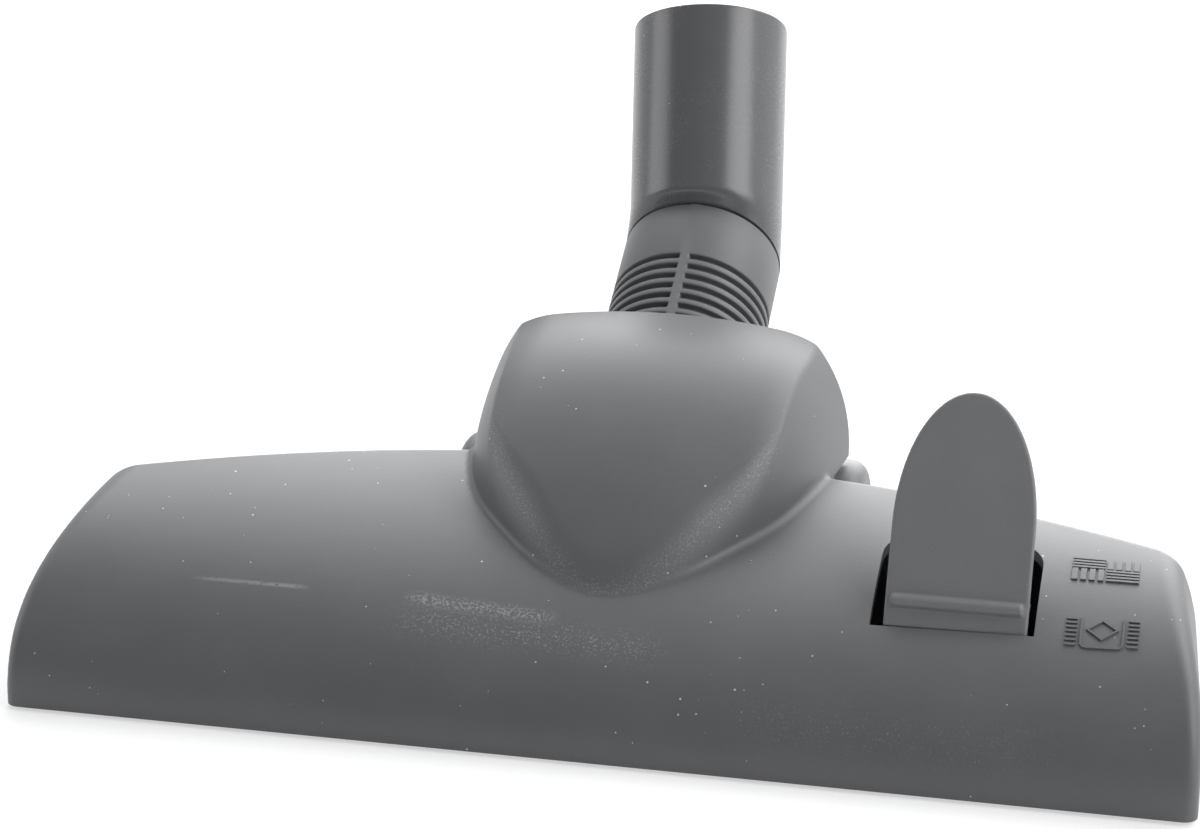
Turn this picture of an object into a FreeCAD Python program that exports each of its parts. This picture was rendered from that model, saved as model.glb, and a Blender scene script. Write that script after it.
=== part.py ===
import FreeCAD, Part
import math
import os

from FreeCAD import Vector

os.makedirs("parts", exist_ok=True)

# Floor head of a vacuum cleaner. X runs along the head, Y runs from its front edge to the tube, Z is up.
# The sole plate lies in the plane Z = 0. Sizes are in millimetres, angles in degrees.

# Cover: a quarter ellipse from the front foot to the rear ridge, the same rule at every station along X
HEAD_LENGTH = 275.0
FRONT_Y = -38.0
COVER_LIFT = 1.0
COVER_WALL = 2.5
RIDGE_Y = 43.0
RIDGE_SWEEP = 23.3
RIDGE_TOP = 42.7
RIDGE_DROP = 4.4
RIDGE_STATION = 125.0
RIDGE_RADIUS = 4.0
END_ARC_RADIUS = 41.8
END_ARC_START = 8.6
END_TAPER = 0.033
END_FILLET = 3.0
END_ZONE = 25.0

# Bonnet over the tilting joint, moulded with the cover: plan of one side and side view of the roof
BOW_OUTLINE = [(0.0, -13.6), (15.4, -6.8), (32.4, 10.4), (41.8, 31.3), (46.8, 62.0)]
ROOF_PROFILE = [(-14.0, 30.6), (-4.5, 42.0), (10.0, 54.0), (28.0, 64.5), (47.0, 70.5), (64.5, 72.6)]
ROOF_ARCH_RADIUS = 150.0
BONNET_SIDE_RADIUS = 41.6
BONNET_WAIST_Z = 40.8
BONNET_BASE_Z = 24.0
BONNET_SKIRT_Z = 39.4
BOW_RAKE = 0.6
RIM_TOP_Y = 64.2
RIM_BULGE_Y = 67.0
RIM_BULGE_Z = 57.0
RIM_FOOT_Y = 61.5

# Tilting elbow: a drum between two ears, and a ribbed neck that ends at the swivel joint
PIVOT_Y = 47.0
PIVOT_Z = 36.85
PIVOT_PIN_RADIUS = 3.0
PIN_HEAD_SPREAD = 1.5
PIN_HEAD_THICKNESS = 1.2
DRUM_RADIUS = 24.0
DRUM_HALF = 33.0
DRUM_WALL = 2.2
DRUM_GAP = 0.5
DRUM_EDGE = 1.0
WINDOW_FROM = 140.0
WINDOW_TO = 245.0
WINDOW_SIDE = 3.0
NECK_ANGLE = 25.7
JOINT_DISTANCE = 74.3
NECK_RADIUS = 20.2
NECK_CORE_RADIUS = 17.8
NECK_BORE_RADIUS = 15.8
BAND_LENGTH = 17.2
GROOVE_COUNT = 8
GROOVE_PITCH = 3.5
GROOVE_WIDTH = 2.1
SPINE_WIDTH = 2.6

# Swivelling connection tube with its spigot, snap ring and seal
SPIGOT_RADIUS = 17.4
SPIGOT_LENGTH = 14.0
JOINT_GAP = 0.3
TUBE_BEND = 30.2
SWIVEL_REST = -8.4
TUBE_LENGTH = 63.8
TUBE_BASE_RADIUS = 19.75
TUBE_RIM_RADIUS = 20.0
TUBE_RIM_EDGE = 0.8
TUBE_BORE_RADIUS = 17.5
TUBE_BORE_DEPTH = 36.0
TUBE_PASSAGE_RADIUS = 15.4
COLLAR_FLARE = 5.0
RING_RADIUS = 18.3
RING_WIDTH = 2.0
RING_OFFSET = 5.5
RING_SLOT_DEPTH = 0.6
SEAL_THICKNESS = 0.6
RUNNING_GAP = 0.05

# Wheels and their axles
WHEEL_RADIUS = 19.2
WHEEL_WIDTH = 12.0
WHEEL_Y = 59.5
WHEEL_SIDE_GAP = 2.5
WHEEL_GAP = 1.3
WHEEL_SHOULDER = 3.5
WHEEL_INNER_ROUND = 1.0
TREAD_WALL = 4.5
HUB_RADIUS = 5.0
RECESS_DEPTH = 4.0
SPOKE_COUNT = 6
SPOKE_THICKNESS = 1.2
SPOKE_SETBACK = 0.6
AXLE_RADIUS = 2.5
AXLE_HEAD_SPREAD = 1.8
AXLE_HEAD_THICKNESS = 1.0
AXLE_END_GAP = 0.3

# Sole plate, chassis floor and rim
SOLE_THICKNESS = 0.8
SOLE_SETBACK = 1.5
SOLE_REAR_LAND = 7.0
SOLE_CORNER = 5.0
CHASSIS_GAP = 0.5
FLOOR_THICKNESS = 2.2
CHASSIS_WALL = 2.0
CHASSIS_RIM_HEIGHT = 8.0
TAIL_LENGTH = 17.0
GUSSET_THICKNESS = 1.4
GUSSET_LENGTH = 9.0
GUSSET_HEIGHT = 6.0
GUSSET_STATIONS = [68.0, 84.0, 100.0]

# Suction channel and the duct from its mouth up to the drum
CHANNEL_SETBACK = 9.0
CHANNEL_WIDTH = 15.0
CHANNEL_END = 33.5
CHANNEL_HEIGHT = 9.0
CHANNEL_ROUND = 3.0
MOUTH_HALF = 20.0
DUCT_FRONT_Z = 22.5
DUCT_BEND_BACK = 6.0
DUCT_BEND_Z = 31.0
DUCT_END_BACK = 12.0
DUCT_END_Z = 50.0
DUCT_FLOOR_Z = 20.5

# Ears that carry the drum and the wheels, and the trough under the drum
EAR_THICKNESS = 4.0
EAR_RADIUS = 8.0
EAR_FOOT_REACH = 14.0
EAR_FOOT_REAR = 4.0
AXLE_BOSS_RADIUS = 6.0
AXLE_BOSS_GAP = 0.4
TROUGH_FROM = 205.0
TROUGH_TO = 292.0

# Brush frame, bristles and lint strips
FRONT_BRUSH_SETBACK = 13.0
REAR_BRUSH_SETBACK = 10.0
BRISTLE_WIDTH = 4.0
BRISTLE_END = 20.5
BRISTLE_TIP_Z = 1.6
BRUSH_SLOT_GAP = 0.6
CARRIER_WIDTH = 7.0
CARRIER_HEIGHT = 4.5
CARRIER_BOTTOM = 11.5
CARRIER_END_WALL = 1.5
CARRIER_CHAMFER = 1.6
TUFT_DEPTH = 2.5
CROSSBAR_END = 25.5
CROSSBAR_WIDTH = 6.0
LINT_WIDTH = 4.0
LINT_END = 6.0
LINT_SIDE_GAP = 0.1
LINT_RECESS = 0.1

# Springs that lift the brush frame
SPRING_SETBACK = 17.0
SPRING_MEAN_RADIUS = 3.6
SPRING_WIRE = 0.8
SPRING_TURNS = 5.0
CUP_HEIGHT = 7.0
CUP_WALL = 1.4
CUP_ROOF = 1.5
CUP_PLAY = 0.6
GUIDE_RADIUS = 2.2
GUIDE_HEIGHT = 5.5

# Rocker pedal: a tongue plate with a grip rib, two cheeks, and a pin that pushes the brush frame down
PEDAL_END = 57.4
PEDAL_WIDTH = 33.4
PEDAL_SIDE_GAP = 1.7
PEDAL_FRONT_GAP = 0.8
PEDAL_SLOT_LENGTH = 31.4
PEDAL_SLOT_CORNER = 9.2
PEDAL_FOOT_Y = -13.6
PEDAL_CHORD = 54.0
PEDAL_ANGLE = 57.2
PEDAL_TRAVEL = 28.0
PEDAL_THICKNESS = 2.6
PEDAL_EDGE = 0.7
PEDAL_BULGE = 1.3
PEDAL_SHOULDER = 22.7
PEDAL_TOE = 1.0
PEDAL_PIVOT_BACK = 14.1
PEDAL_PIVOT_DOWN = 4.0
PEDAL_PIN_RADIUS = 2.0
PEDAL_HUB_RADIUS = 4.2
CHEEK_THICKNESS = 2.4
CHEEK_OUTER_X = 12.0
CHEEK_LENGTH = 24.0
CHEEK_SINK = 0.5
LIFT_PIN_RADIUS = 1.5
LIFT_ARM = 15.5
LIFT_PIN_LAND = 2.6
LIFT_SLOT_PLAY = 0.9
LIFT_SLOT_GAP = 0.3
BRACKET_THICKNESS = 2.5
BRACKET_LAND = 1.8
PEDAL_PLAY = 0.4
PEDAL_SPRING_WIRE = 0.8
PEDAL_SPRING_PLAY = 0.6
PEDAL_SPRING_TURNS = 4.25
PEDAL_SPRING_PITCH = 1.1
PEDAL_SPRING_REACH = 11.0
COIL_STEPS = 12
WIRE_SIDES = 8
POST_WIDTH = 4.0
POST_RADIUS = 4.5
POST_FOOT = 6.0
GRIP_RIB_LENGTH = 29.5
GRIP_RIB_WIDTH = 3.0
GRIP_RIB_OFFSET = 5.0
GRIP_RIB_RISE = 0.6

# Screws that hold the chassis up to bosses in the cover
END_SCREW_INSET = 13.5
END_SCREW_Y = -4.0
REAR_SCREW_X = 60.0
REAR_SCREW_Y = 26.0
SCREW_RADIUS = 1.6
SCREW_HEAD_RADIUS = 3.4
SCREW_HEAD_HEIGHT = 1.4
SCREW_SEAT_Z = 1.8
SCREW_LENGTH = 12.0
SCREW_PLAY = 0.2
SOLE_HOLE_PLAY = 0.6
BOSS_RADIUS = 3.6
BOSS_GAP = 0.1

# Overlap of pieces that are moulded as one, and the length by which a cutter runs past what it cuts
BLEND = 0.1
PAST = 10.0

HALF = HEAD_LENGTH / 2
BOW_HALF = BOW_OUTLINE[-1][0]
ROOF_TOP = ROOF_PROFILE[-1][1]
FLOOR_TOP = SOLE_THICKNESS + FLOOR_THICKNESS
FRONT_BRUSH_Y = FRONT_Y + FRONT_BRUSH_SETBACK
CHANNEL_FRONT = FRONT_BRUSH_Y + CHANNEL_SETBACK
CHANNEL_REAR = CHANNEL_FRONT + CHANNEL_WIDTH
REAR_BRUSH_Y = CHANNEL_REAR + REAR_BRUSH_SETBACK
CHANNEL_HALF = HALF - CHANNEL_END
LINT_HALF = CHANNEL_HALF - LINT_END
BRISTLE_HALF = HALF - BRISTLE_END
CARRIER_HALF = BRISTLE_HALF + CARRIER_END_WALL
CARRIER_TOP = CARRIER_BOTTOM + CARRIER_HEIGHT
CROSSBAR_X = HALF - CROSSBAR_END
SPRING_Y = FRONT_BRUSH_Y + SPRING_SETBACK
CUP_RADIUS = SPRING_MEAN_RADIUS + SPRING_WIRE / 2 + CUP_PLAY + CUP_WALL
CUP_CEILING = CARRIER_BOTTOM + CUP_HEIGHT - CUP_ROOF
PEDAL_X = HALF - PEDAL_END
NECK_AXIS = Vector(0, math.cos(math.radians(NECK_ANGLE)), math.sin(math.radians(NECK_ANGLE)))
NECK_UP = Vector(0, -NECK_AXIS.z, NECK_AXIS.y)
PIVOT = Vector(0, PIVOT_Y, PIVOT_Z)
JOINT_CENTRE = PIVOT + NECK_AXIS * JOINT_DISTANCE
SWEPT_RADIUS = DRUM_RADIUS + DRUM_GAP
EAR_INNER_X = DRUM_HALF + DRUM_GAP
EAR_OUTER_X = EAR_INNER_X + EAR_THICKNESS
WHEEL_INNER_X = EAR_OUTER_X + WHEEL_SIDE_GAP
WHEEL_OUTER_X = WHEEL_INNER_X + WHEEL_WIDTH
WELL_HALF = WHEEL_OUTER_X + WHEEL_GAP
CHASSIS_INSET = COVER_WALL + CHASSIS_GAP
LOW_Z = -5.0
SCREW_PLACES = [(HALF - END_SCREW_INSET, END_SCREW_Y), (REAR_SCREW_X, REAR_SCREW_Y)]


def box(x0, x1, y0, y1, z0, z1):
    return Part.makeBox(x1 - x0, y1 - y0, z1 - z0, Vector(x0, y0, z0))


def rod(radius, x0, x1, y, z):
    return Part.makeCylinder(radius, x1 - x0, Vector(x0, y, z), Vector(1, 0, 0))


def upright(radius, x, y, z0, z1):
    return Part.makeCylinder(radius, z1 - z0, Vector(x, y, z0))


def mirrored(shape):
    return shape.mirror(Vector(0, 0, 0), Vector(1, 0, 0))


def profile_yz(points, x0, x1):
    """Upright plate with the given side view between two stations."""
    wire = Part.makePolygon([Vector(x0, y, z) for y, z in points + points[:1]])
    return Part.Face(wire).extrude(Vector(x1 - x0, 0, 0))


def slab(z0, z1):
    """Everything between two heights, wider than the head."""
    return box(-HALF - PAST, HALF + PAST, FRONT_Y - PAST, RIM_BULGE_Y + PAST, z0, z1)


def save(shape, name):
    shape.exportStep("parts/" + name + ".step")
    print(name, len(shape.Solids), round(shape.Volume), shape.isValid())


def ridge_y(x):
    return RIDGE_Y - RIDGE_SWEEP * (x / RIDGE_STATION) ** 2


def ridge_z(x):
    return RIDGE_TOP - RIDGE_DROP * (x / RIDGE_STATION) ** 2


def cover_height(x, y):
    """Height of the cover's outer face over the floor."""
    share = (ridge_y(x) - y) / (ridge_y(x) - FRONT_Y)
    return COVER_LIFT + (ridge_z(x) - COVER_LIFT) * math.sqrt(max(0.0, 1 - max(0.0, share) ** 2))


def cover_section(x, inset, floor_z):
    """Closed section of the cover at one station: quarter ellipse, rounded ridge, rear wall and floor."""
    front = FRONT_Y + inset
    top = ridge_z(x) - inset
    middle = Vector(x, ridge_y(x) - inset, COVER_LIFT)
    length = middle.y - front
    height = top - COVER_LIFT
    rear = middle.y + RIDGE_RADIUS
    bend = RIDGE_RADIUS * math.sqrt(0.5)
    ellipse = Part.Ellipse(middle + Vector(0, length, 0), middle + Vector(0, 0, height), middle)
    crown = Vector(x, middle.y, top)
    shoulder = Vector(x, middle.y + bend, top - RIDGE_RADIUS + bend)
    back = Vector(x, rear, top - RIDGE_RADIUS)
    edges = [Part.ArcOfEllipse(ellipse, math.pi / 2, math.pi).toShape()]
    edges.append(Part.Arc(crown, shoulder, back).toShape())
    edges.append(Part.makeLine(back, Vector(x, rear, floor_z)))
    edges.append(Part.makeLine(Vector(x, rear, floor_z), Vector(x, front, floor_z)))
    if floor_z < COVER_LIFT:
        edges.append(Part.makeLine(Vector(x, front, floor_z), Vector(x, front, COVER_LIFT)))
    return Part.Wire(Part.__sortEdges__(edges))


def end_outline(y, inset):
    """Front view of the head at one depth: upright end walls that lean in as an arc towards the top."""
    half = HALF - END_TAPER * (y - FRONT_Y) - inset
    radius = END_ARC_RADIUS - inset
    points = []
    for angle in (0, math.pi / 4, math.pi / 2):
        points.append((half - radius * (1 - math.cos(angle)), END_ARC_START + radius * math.sin(angle)))
    right = [Vector(x, y, z) for x, z in points]
    left = [Vector(-x, y, z) for x, z in points]
    foot_right = Vector(half, y, LOW_Z - PAST)
    foot_left = Vector(-half, y, LOW_Z - PAST)
    edges = [
        Part.makeLine(foot_right, right[0]),
        Part.Arc(right[0], right[1], right[2]).toShape(),
        Part.makeLine(right[2], left[2]),
        Part.Arc(left[2], left[1], left[0]).toShape(),
        Part.makeLine(left[0], foot_left),
        Part.makeLine(foot_left, foot_right),
    ]
    return Part.Wire(edges)


def head_body(inset, floor_z):
    """Solid of the head's outer form, or of that form set in by a wall."""
    reach = HALF + PAST
    stations = [reach * step / 3 for step in range(-3, 4)]
    long_form = Part.makeLoft([cover_section(x, inset, floor_z) for x in stations], True, False)
    depths = (FRONT_Y - PAST, RIM_BULGE_Y + PAST)
    ends = Part.makeLoft([end_outline(y, inset) for y in depths], True, True)
    return long_form.common(ends)


def set_in(points, inset):
    """Points of an open outline moved to its right-hand side along the normals of its smooth curve."""
    curve = Part.BSplineCurve()
    curve.interpolate([Vector(a, b, 0) for a, b in points])
    moved = []
    for a, b in points:
        tangent = curve.tangent(curve.parameter(Vector(a, b, 0)))[0]
        moved.append((a + inset * tangent.y, b - inset * tangent.x))
    return moved


def bow_level(z, inset):
    """Plan outline of the bonnet at one height: the sides lean in along an arc and the bow leans back."""
    radius = BONNET_SIDE_RADIUS
    lean = 0.0
    if z > BONNET_WAIST_Z:
        lean = radius - math.sqrt(radius ** 2 - (z - BONNET_WAIST_Z) ** 2)
    left_side = [(-x, y) for x, y in reversed(BOW_OUTLINE[1:])]
    whole = set_in(left_side + BOW_OUTLINE, -inset)
    squeeze = 1 - lean / BOW_HALF
    points = [Vector(x * squeeze, y + BOW_RAKE * lean, z) for x, y in whole]
    curve = Part.BSplineCurve()
    curve.interpolate(points)
    rear_y = RIM_BULGE_Y + 2 * PAST
    left = Vector(points[0].x, rear_y, z)
    right = Vector(points[-1].x, rear_y, z)
    edges = [curve.toShape(), Part.makeLine(points[-1], right)]
    edges += [Part.makeLine(right, left), Part.makeLine(left, points[0])]
    return Part.Wire(edges)


def roof_section(x, inset):
    """Side view of the bonnet's roof at one station, lower towards the sides."""
    drop = ROOF_ARCH_RADIUS - math.sqrt(ROOF_ARCH_RADIUS ** 2 - x ** 2)
    points = [Vector(x, y, z - drop) for y, z in set_in(ROOF_PROFILE, inset)]
    curve = Part.BSplineCurve()
    curve.interpolate(points)
    rear = Vector(x, RIM_BULGE_Y + 2 * PAST, points[-1].z + COVER_LIFT)
    low_rear = Vector(x, rear.y, 0)
    low_front = Vector(x, points[0].y, 0)
    edges = [curve.toShape(), Part.makeLine(points[-1], rear), Part.makeLine(rear, low_rear)]
    edges += [Part.makeLine(low_rear, low_front), Part.makeLine(low_front, points[0])]
    return Part.Wire(edges)


def bonnet_body(inset):
    """Solid of the bonnet's form: the leaning sides under the arched roof."""
    step = (ROOF_TOP + BLEND - BONNET_WAIST_Z) / 3
    levels = [BONNET_BASE_Z] + [BONNET_WAIST_Z + step * n for n in range(4)]
    sides = Part.makeLoft([bow_level(z, inset) for z in levels], True, False)
    reach = BOW_HALF + PAST
    roof = Part.makeLoft([roof_section(reach * n / 2, inset) for n in range(-2, 3)], True, False)
    return sides.common(roof)


def rim_cutter():
    """Everything behind the bonnet's rear rim, and its sides below the skirt line behind the ridge."""
    reach = BOW_HALF + PAST
    far = RIM_BULGE_Y + 3 * PAST
    low = Vector(-reach, RIM_FOOT_Y, BONNET_SKIRT_Z)
    bulge = Vector(-reach, RIM_BULGE_Y, RIM_BULGE_Z)
    high = Vector(-reach, RIM_TOP_Y, ROOF_TOP + COVER_LIFT)
    high_far = Vector(-reach, far, high.z)
    low_far = Vector(-reach, far, low.z)
    edges = [Part.Arc(low, bulge, high).toShape(), Part.makeLine(high, high_far)]
    edges += [Part.makeLine(high_far, low_far), Part.makeLine(low_far, low)]
    behind = Part.Face(Part.Wire(edges)).extrude(Vector(2 * reach, 0, 0))
    return behind.fuse(box(-reach, reach, RIDGE_Y, far, 0, BONNET_SKIRT_Z))


def sharp_edges(solid, wanted):
    """Edges where two faces meet at an angle and whose middle the test accepts."""
    found = []
    for edge in solid.Edges:
        middle = edge.valueAt((edge.FirstParameter + edge.LastParameter) / 2)
        if not wanted(middle):
            continue
        normals = []
        for face in solid.Faces:
            if any(edge.isSame(other) for other in face.Edges):
                u, v = face.Surface.parameter(middle)
                normals.append(face.normalAt(u, v))
        if len(normals) == 2 and normals[0].getAngle(normals[1]) > math.radians(12):
            found.append(edge)
    return found


def screw_places():
    return [(side * x, y) for x, y in SCREW_PLACES for side in (-1, 1)]


def brush_slots(z0, z1):
    """Two long slots through which the bristles come out."""
    half = BRISTLE_WIDTH / 2 + BRUSH_SLOT_GAP
    reach = BRISTLE_HALF + BRUSH_SLOT_GAP
    return [box(-reach, reach, y - half, y + half, z0, z1) for y in (FRONT_BRUSH_Y, REAR_BRUSH_Y)]


PEDAL_FOOT_Z = cover_height(PEDAL_X, PEDAL_FOOT_Y)
PEDAL_PIVOT_Y = PEDAL_FOOT_Y + PEDAL_PIVOT_BACK
PEDAL_PIVOT_Z = PEDAL_FOOT_Z - PEDAL_PIVOT_DOWN
LIFT_PIN_Y = PEDAL_PIVOT_Y + LIFT_ARM * math.cos(math.radians(PEDAL_TRAVEL / 2))
LIFT_PIN_Z = PEDAL_PIVOT_Z + LIFT_ARM * math.sin(math.radians(PEDAL_TRAVEL / 2))
POST_INNER_X = CHEEK_OUTER_X + PEDAL_PLAY
POST_OUTER_X = POST_INNER_X + POST_WIDTH


def pedal_slot():
    """Opening in the cover for the pedal, rounded at its rear corners."""
    half = PEDAL_WIDTH / 2 + PEDAL_SIDE_GAP
    front = PEDAL_FOOT_Y - PEDAL_FRONT_GAP
    rear = front + PEDAL_SLOT_LENGTH
    slot = box(PEDAL_X - half, PEDAL_X + half, front, rear, PEDAL_PIVOT_Z - PAST, RIDGE_TOP + PAST)
    corners = [e for e in slot.Edges if e.BoundBox.ZLength > PAST and e.BoundBox.YMin > front + PAST]
    return slot.makeFillet(PEDAL_SLOT_CORNER, corners)


def make_cover():
    head = head_body(0, COVER_LIFT)
    ends = sharp_edges(head, lambda p: abs(p.x) > HALF - END_ZONE and p.z > COVER_LIFT + BLEND)
    head = head.makeFillet(END_FILLET, ends)
    outer = head.fuse(bonnet_body(0).cut(rim_cutter()))
    inner = head_body(COVER_WALL, LOW_Z).fuse(bonnet_body(COVER_WALL))
    shell = outer.cut(inner)
    rear_opening = box(-WELL_HALF, WELL_HALF, RIDGE_Y - PAST, RIM_BULGE_Y + PAST, LOW_Z, BONNET_SKIRT_Z)
    shell = shell.cut(rear_opening).cut(pedal_slot())
    boss_limit = head_body(COVER_WALL / 2, COVER_LIFT)
    for x, y in screw_places():
        boss = upright(BOSS_RADIUS, x, y, FLOOR_TOP + BOSS_GAP, RIDGE_TOP).common(boss_limit)
        pilot = upright(SCREW_RADIUS, x, y, SCREW_SEAT_Z, SCREW_SEAT_Z + SCREW_LENGTH)
        shell = shell.fuse(boss.cut(pilot))
    return shell


def drum_sector(radius, start, end, half):
    """Sector of a cylinder round the pivot between two angles, measured from +Y towards +Z."""
    centre = Vector(-half, PIVOT_Y, PIVOT_Z)
    rim = []
    for degrees in (start, (start + end) / 2, end):
        angle = math.radians(degrees)
        rim.append(centre + Vector(0, radius * math.cos(angle), radius * math.sin(angle)))
    edges = [Part.makeLine(centre, rim[0]), Part.Arc(rim[0], rim[1], rim[2]).toShape()]
    edges.append(Part.makeLine(rim[2], centre))
    return Part.Face(Part.Wire(edges)).extrude(Vector(2 * half, 0, 0))


def on_neck(radius, back, length):
    """Cylinder on the neck's axis that starts a distance before the swivel joint."""
    return Part.makeCylinder(radius, length, JOINT_CENTRE - NECK_AXIS * back, NECK_AXIS)


def make_elbow():
    """Drum that tilts between the chassis ears, with the ribbed neck that carries the swivel joint."""
    neck = on_neck(NECK_CORE_RADIUS, JOINT_DISTANCE, JOINT_DISTANCE)
    neck = neck.fuse(on_neck(NECK_RADIUS, BAND_LENGTH, BAND_LENGTH))
    for turn in range(GROOVE_COUNT):
        back = BAND_LENGTH + GROOVE_PITCH * (turn + 1)
        neck = neck.fuse(on_neck(NECK_RADIUS, back, GROOVE_PITCH - GROOVE_WIDTH))
    ribbed = BAND_LENGTH + GROOVE_PITCH * GROOVE_COUNT
    spine = box(-SPINE_WIDTH / 2, SPINE_WIDTH / 2, -NECK_RADIUS, NECK_RADIUS, -ribbed, 0)
    spine.rotate(Vector(0, 0, 0), Vector(1, 0, 0), NECK_ANGLE - 90)
    spine.translate(JOINT_CENTRE)
    neck = neck.fuse(spine.common(on_neck(NECK_RADIUS, ribbed, ribbed)))
    drum = rod(DRUM_RADIUS, -DRUM_HALF, DRUM_HALF, PIVOT_Y, PIVOT_Z)
    drum = drum.makeFillet(DRUM_EDGE, [e for e in drum.Edges if e.BoundBox.XLength < BLEND])
    body = neck.fuse(drum)
    inside = DRUM_HALF - DRUM_WALL
    body = body.cut(rod(DRUM_RADIUS - DRUM_WALL, -inside, inside, PIVOT_Y, PIVOT_Z))
    body = body.cut(on_neck(NECK_BORE_RADIUS, JOINT_DISTANCE, JOINT_DISTANCE + PAST))
    socket = SPIGOT_LENGTH + SEAL_THICKNESS + JOINT_GAP
    body = body.cut(on_neck(SPIGOT_RADIUS + JOINT_GAP, socket, socket + PAST))
    body = body.cut(on_neck(RING_RADIUS, RING_OFFSET + RING_WIDTH, RING_WIDTH))
    window = drum_sector(DRUM_RADIUS + BLEND, WINDOW_FROM, WINDOW_TO, MOUTH_HALF + WINDOW_SIDE)
    pin_hole = rod(PIVOT_PIN_RADIUS + RUNNING_GAP, -EAR_INNER_X, EAR_INNER_X, PIVOT_Y, PIVOT_Z)
    return body.cut(window).cut(pin_hole)


def make_snap_ring():
    start = RING_OFFSET + RING_WIDTH
    inner = SPIGOT_RADIUS - RING_SLOT_DEPTH + RUNNING_GAP
    return on_neck(RING_RADIUS, start, RING_WIDTH).cut(on_neck(inner, start, RING_WIDTH))


def make_neck_seal():
    start = SPIGOT_LENGTH + SEAL_THICKNESS + JOINT_GAP
    ring = on_neck(SPIGOT_RADIUS + JOINT_GAP, start, SEAL_THICKNESS)
    return ring.cut(on_neck(NECK_BORE_RADIUS, start, SEAL_THICKNESS))


def tube_direction():
    """Direction of the tube, from the neck's axis, the bend and the swivel at rest."""
    bend = math.radians(TUBE_BEND)
    turn = math.radians(SWIVEL_REST)
    sideways = NECK_UP * math.cos(turn) + Vector(1, 0, 0) * math.sin(turn)
    return NECK_AXIS * math.cos(bend) + sideways * math.sin(bend)


def make_tube():
    """Bent connection tube: a collar and spigot on the neck's axis, and a straight socket for the wand."""
    direction = tube_direction()
    start = JOINT_CENTRE - direction * TUBE_BASE_RADIUS
    length = TUBE_LENGTH + TUBE_BASE_RADIUS
    straight = Part.makeCone(TUBE_BASE_RADIUS, TUBE_RIM_RADIUS, length, start, direction)
    rim_edge = max(straight.Edges, key=lambda e: (e.CenterOfMass - start).dot(direction))
    straight = straight.makeFillet(TUBE_RIM_EDGE, [rim_edge])
    body = straight.fuse(Part.makeSphere(TUBE_RIM_RADIUS, JOINT_CENTRE))
    joint_face = JOINT_CENTRE + NECK_AXIS * JOINT_GAP
    flare = Part.makeCone(NECK_RADIUS, NECK_RADIUS + COLLAR_FLARE, COLLAR_FLARE, joint_face, NECK_AXIS)
    beyond = on_neck(NECK_RADIUS + TUBE_LENGTH, -JOINT_GAP - COLLAR_FLARE, TUBE_LENGTH + NECK_RADIUS)
    body = body.common(flare.fuse(beyond))
    body = body.fuse(on_neck(SPIGOT_RADIUS, SPIGOT_LENGTH, SPIGOT_LENGTH + COLLAR_FLARE))
    slot_start = RING_OFFSET + RING_WIDTH + RUNNING_GAP
    slot_width = RING_WIDTH + 2 * RUNNING_GAP
    ring_slot = on_neck(RING_RADIUS, slot_start, slot_width)
    body = body.cut(ring_slot.cut(on_neck(SPIGOT_RADIUS - RING_SLOT_DEPTH, slot_start, slot_width)))
    rim = JOINT_CENTRE + direction * TUBE_LENGTH
    seat = rim - direction * TUBE_BORE_DEPTH
    bore = Part.makeCylinder(TUBE_BORE_RADIUS, TUBE_BORE_DEPTH + PAST, seat, direction)
    passage = Part.makeCylinder(TUBE_PASSAGE_RADIUS, TUBE_LENGTH, JOINT_CENTRE, direction)
    passage = passage.fuse(Part.makeSphere(TUBE_PASSAGE_RADIUS, JOINT_CENTRE))
    passage = passage.fuse(on_neck(TUBE_PASSAGE_RADIUS, SPIGOT_LENGTH + PAST, SPIGOT_LENGTH + PAST))
    return body.cut(bore).cut(passage)


def duct_face():
    """Side view of the air way from the suction channel up and back into the drum."""
    rear_y = PIVOT_Y - DUCT_END_BACK
    roof = [
        Vector(0, CHANNEL_FRONT, DUCT_FRONT_Z),
        Vector(0, CHANNEL_REAR + DUCT_BEND_BACK, DUCT_BEND_Z),
        Vector(0, rear_y, DUCT_END_Z),
    ]
    floor = [
        Vector(0, rear_y, DUCT_FLOOR_Z),
        Vector(0, CHANNEL_REAR, DUCT_FLOOR_Z),
        Vector(0, CHANNEL_REAR, LOW_Z),
        Vector(0, CHANNEL_FRONT, LOW_Z),
    ]
    edges = [Part.Arc(roof[0], roof[1], roof[2]).toShape()]
    corners = [roof[2]] + floor + [roof[0]]
    edges += [Part.makeLine(a, b) for a, b in zip(corners, corners[1:])]
    return Part.Face(Part.Wire(edges))


def duct_solid(face, half):
    solid = face.extrude(Vector(2 * half, 0, 0))
    solid.translate(Vector(-half, 0, 0))
    return solid


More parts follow.
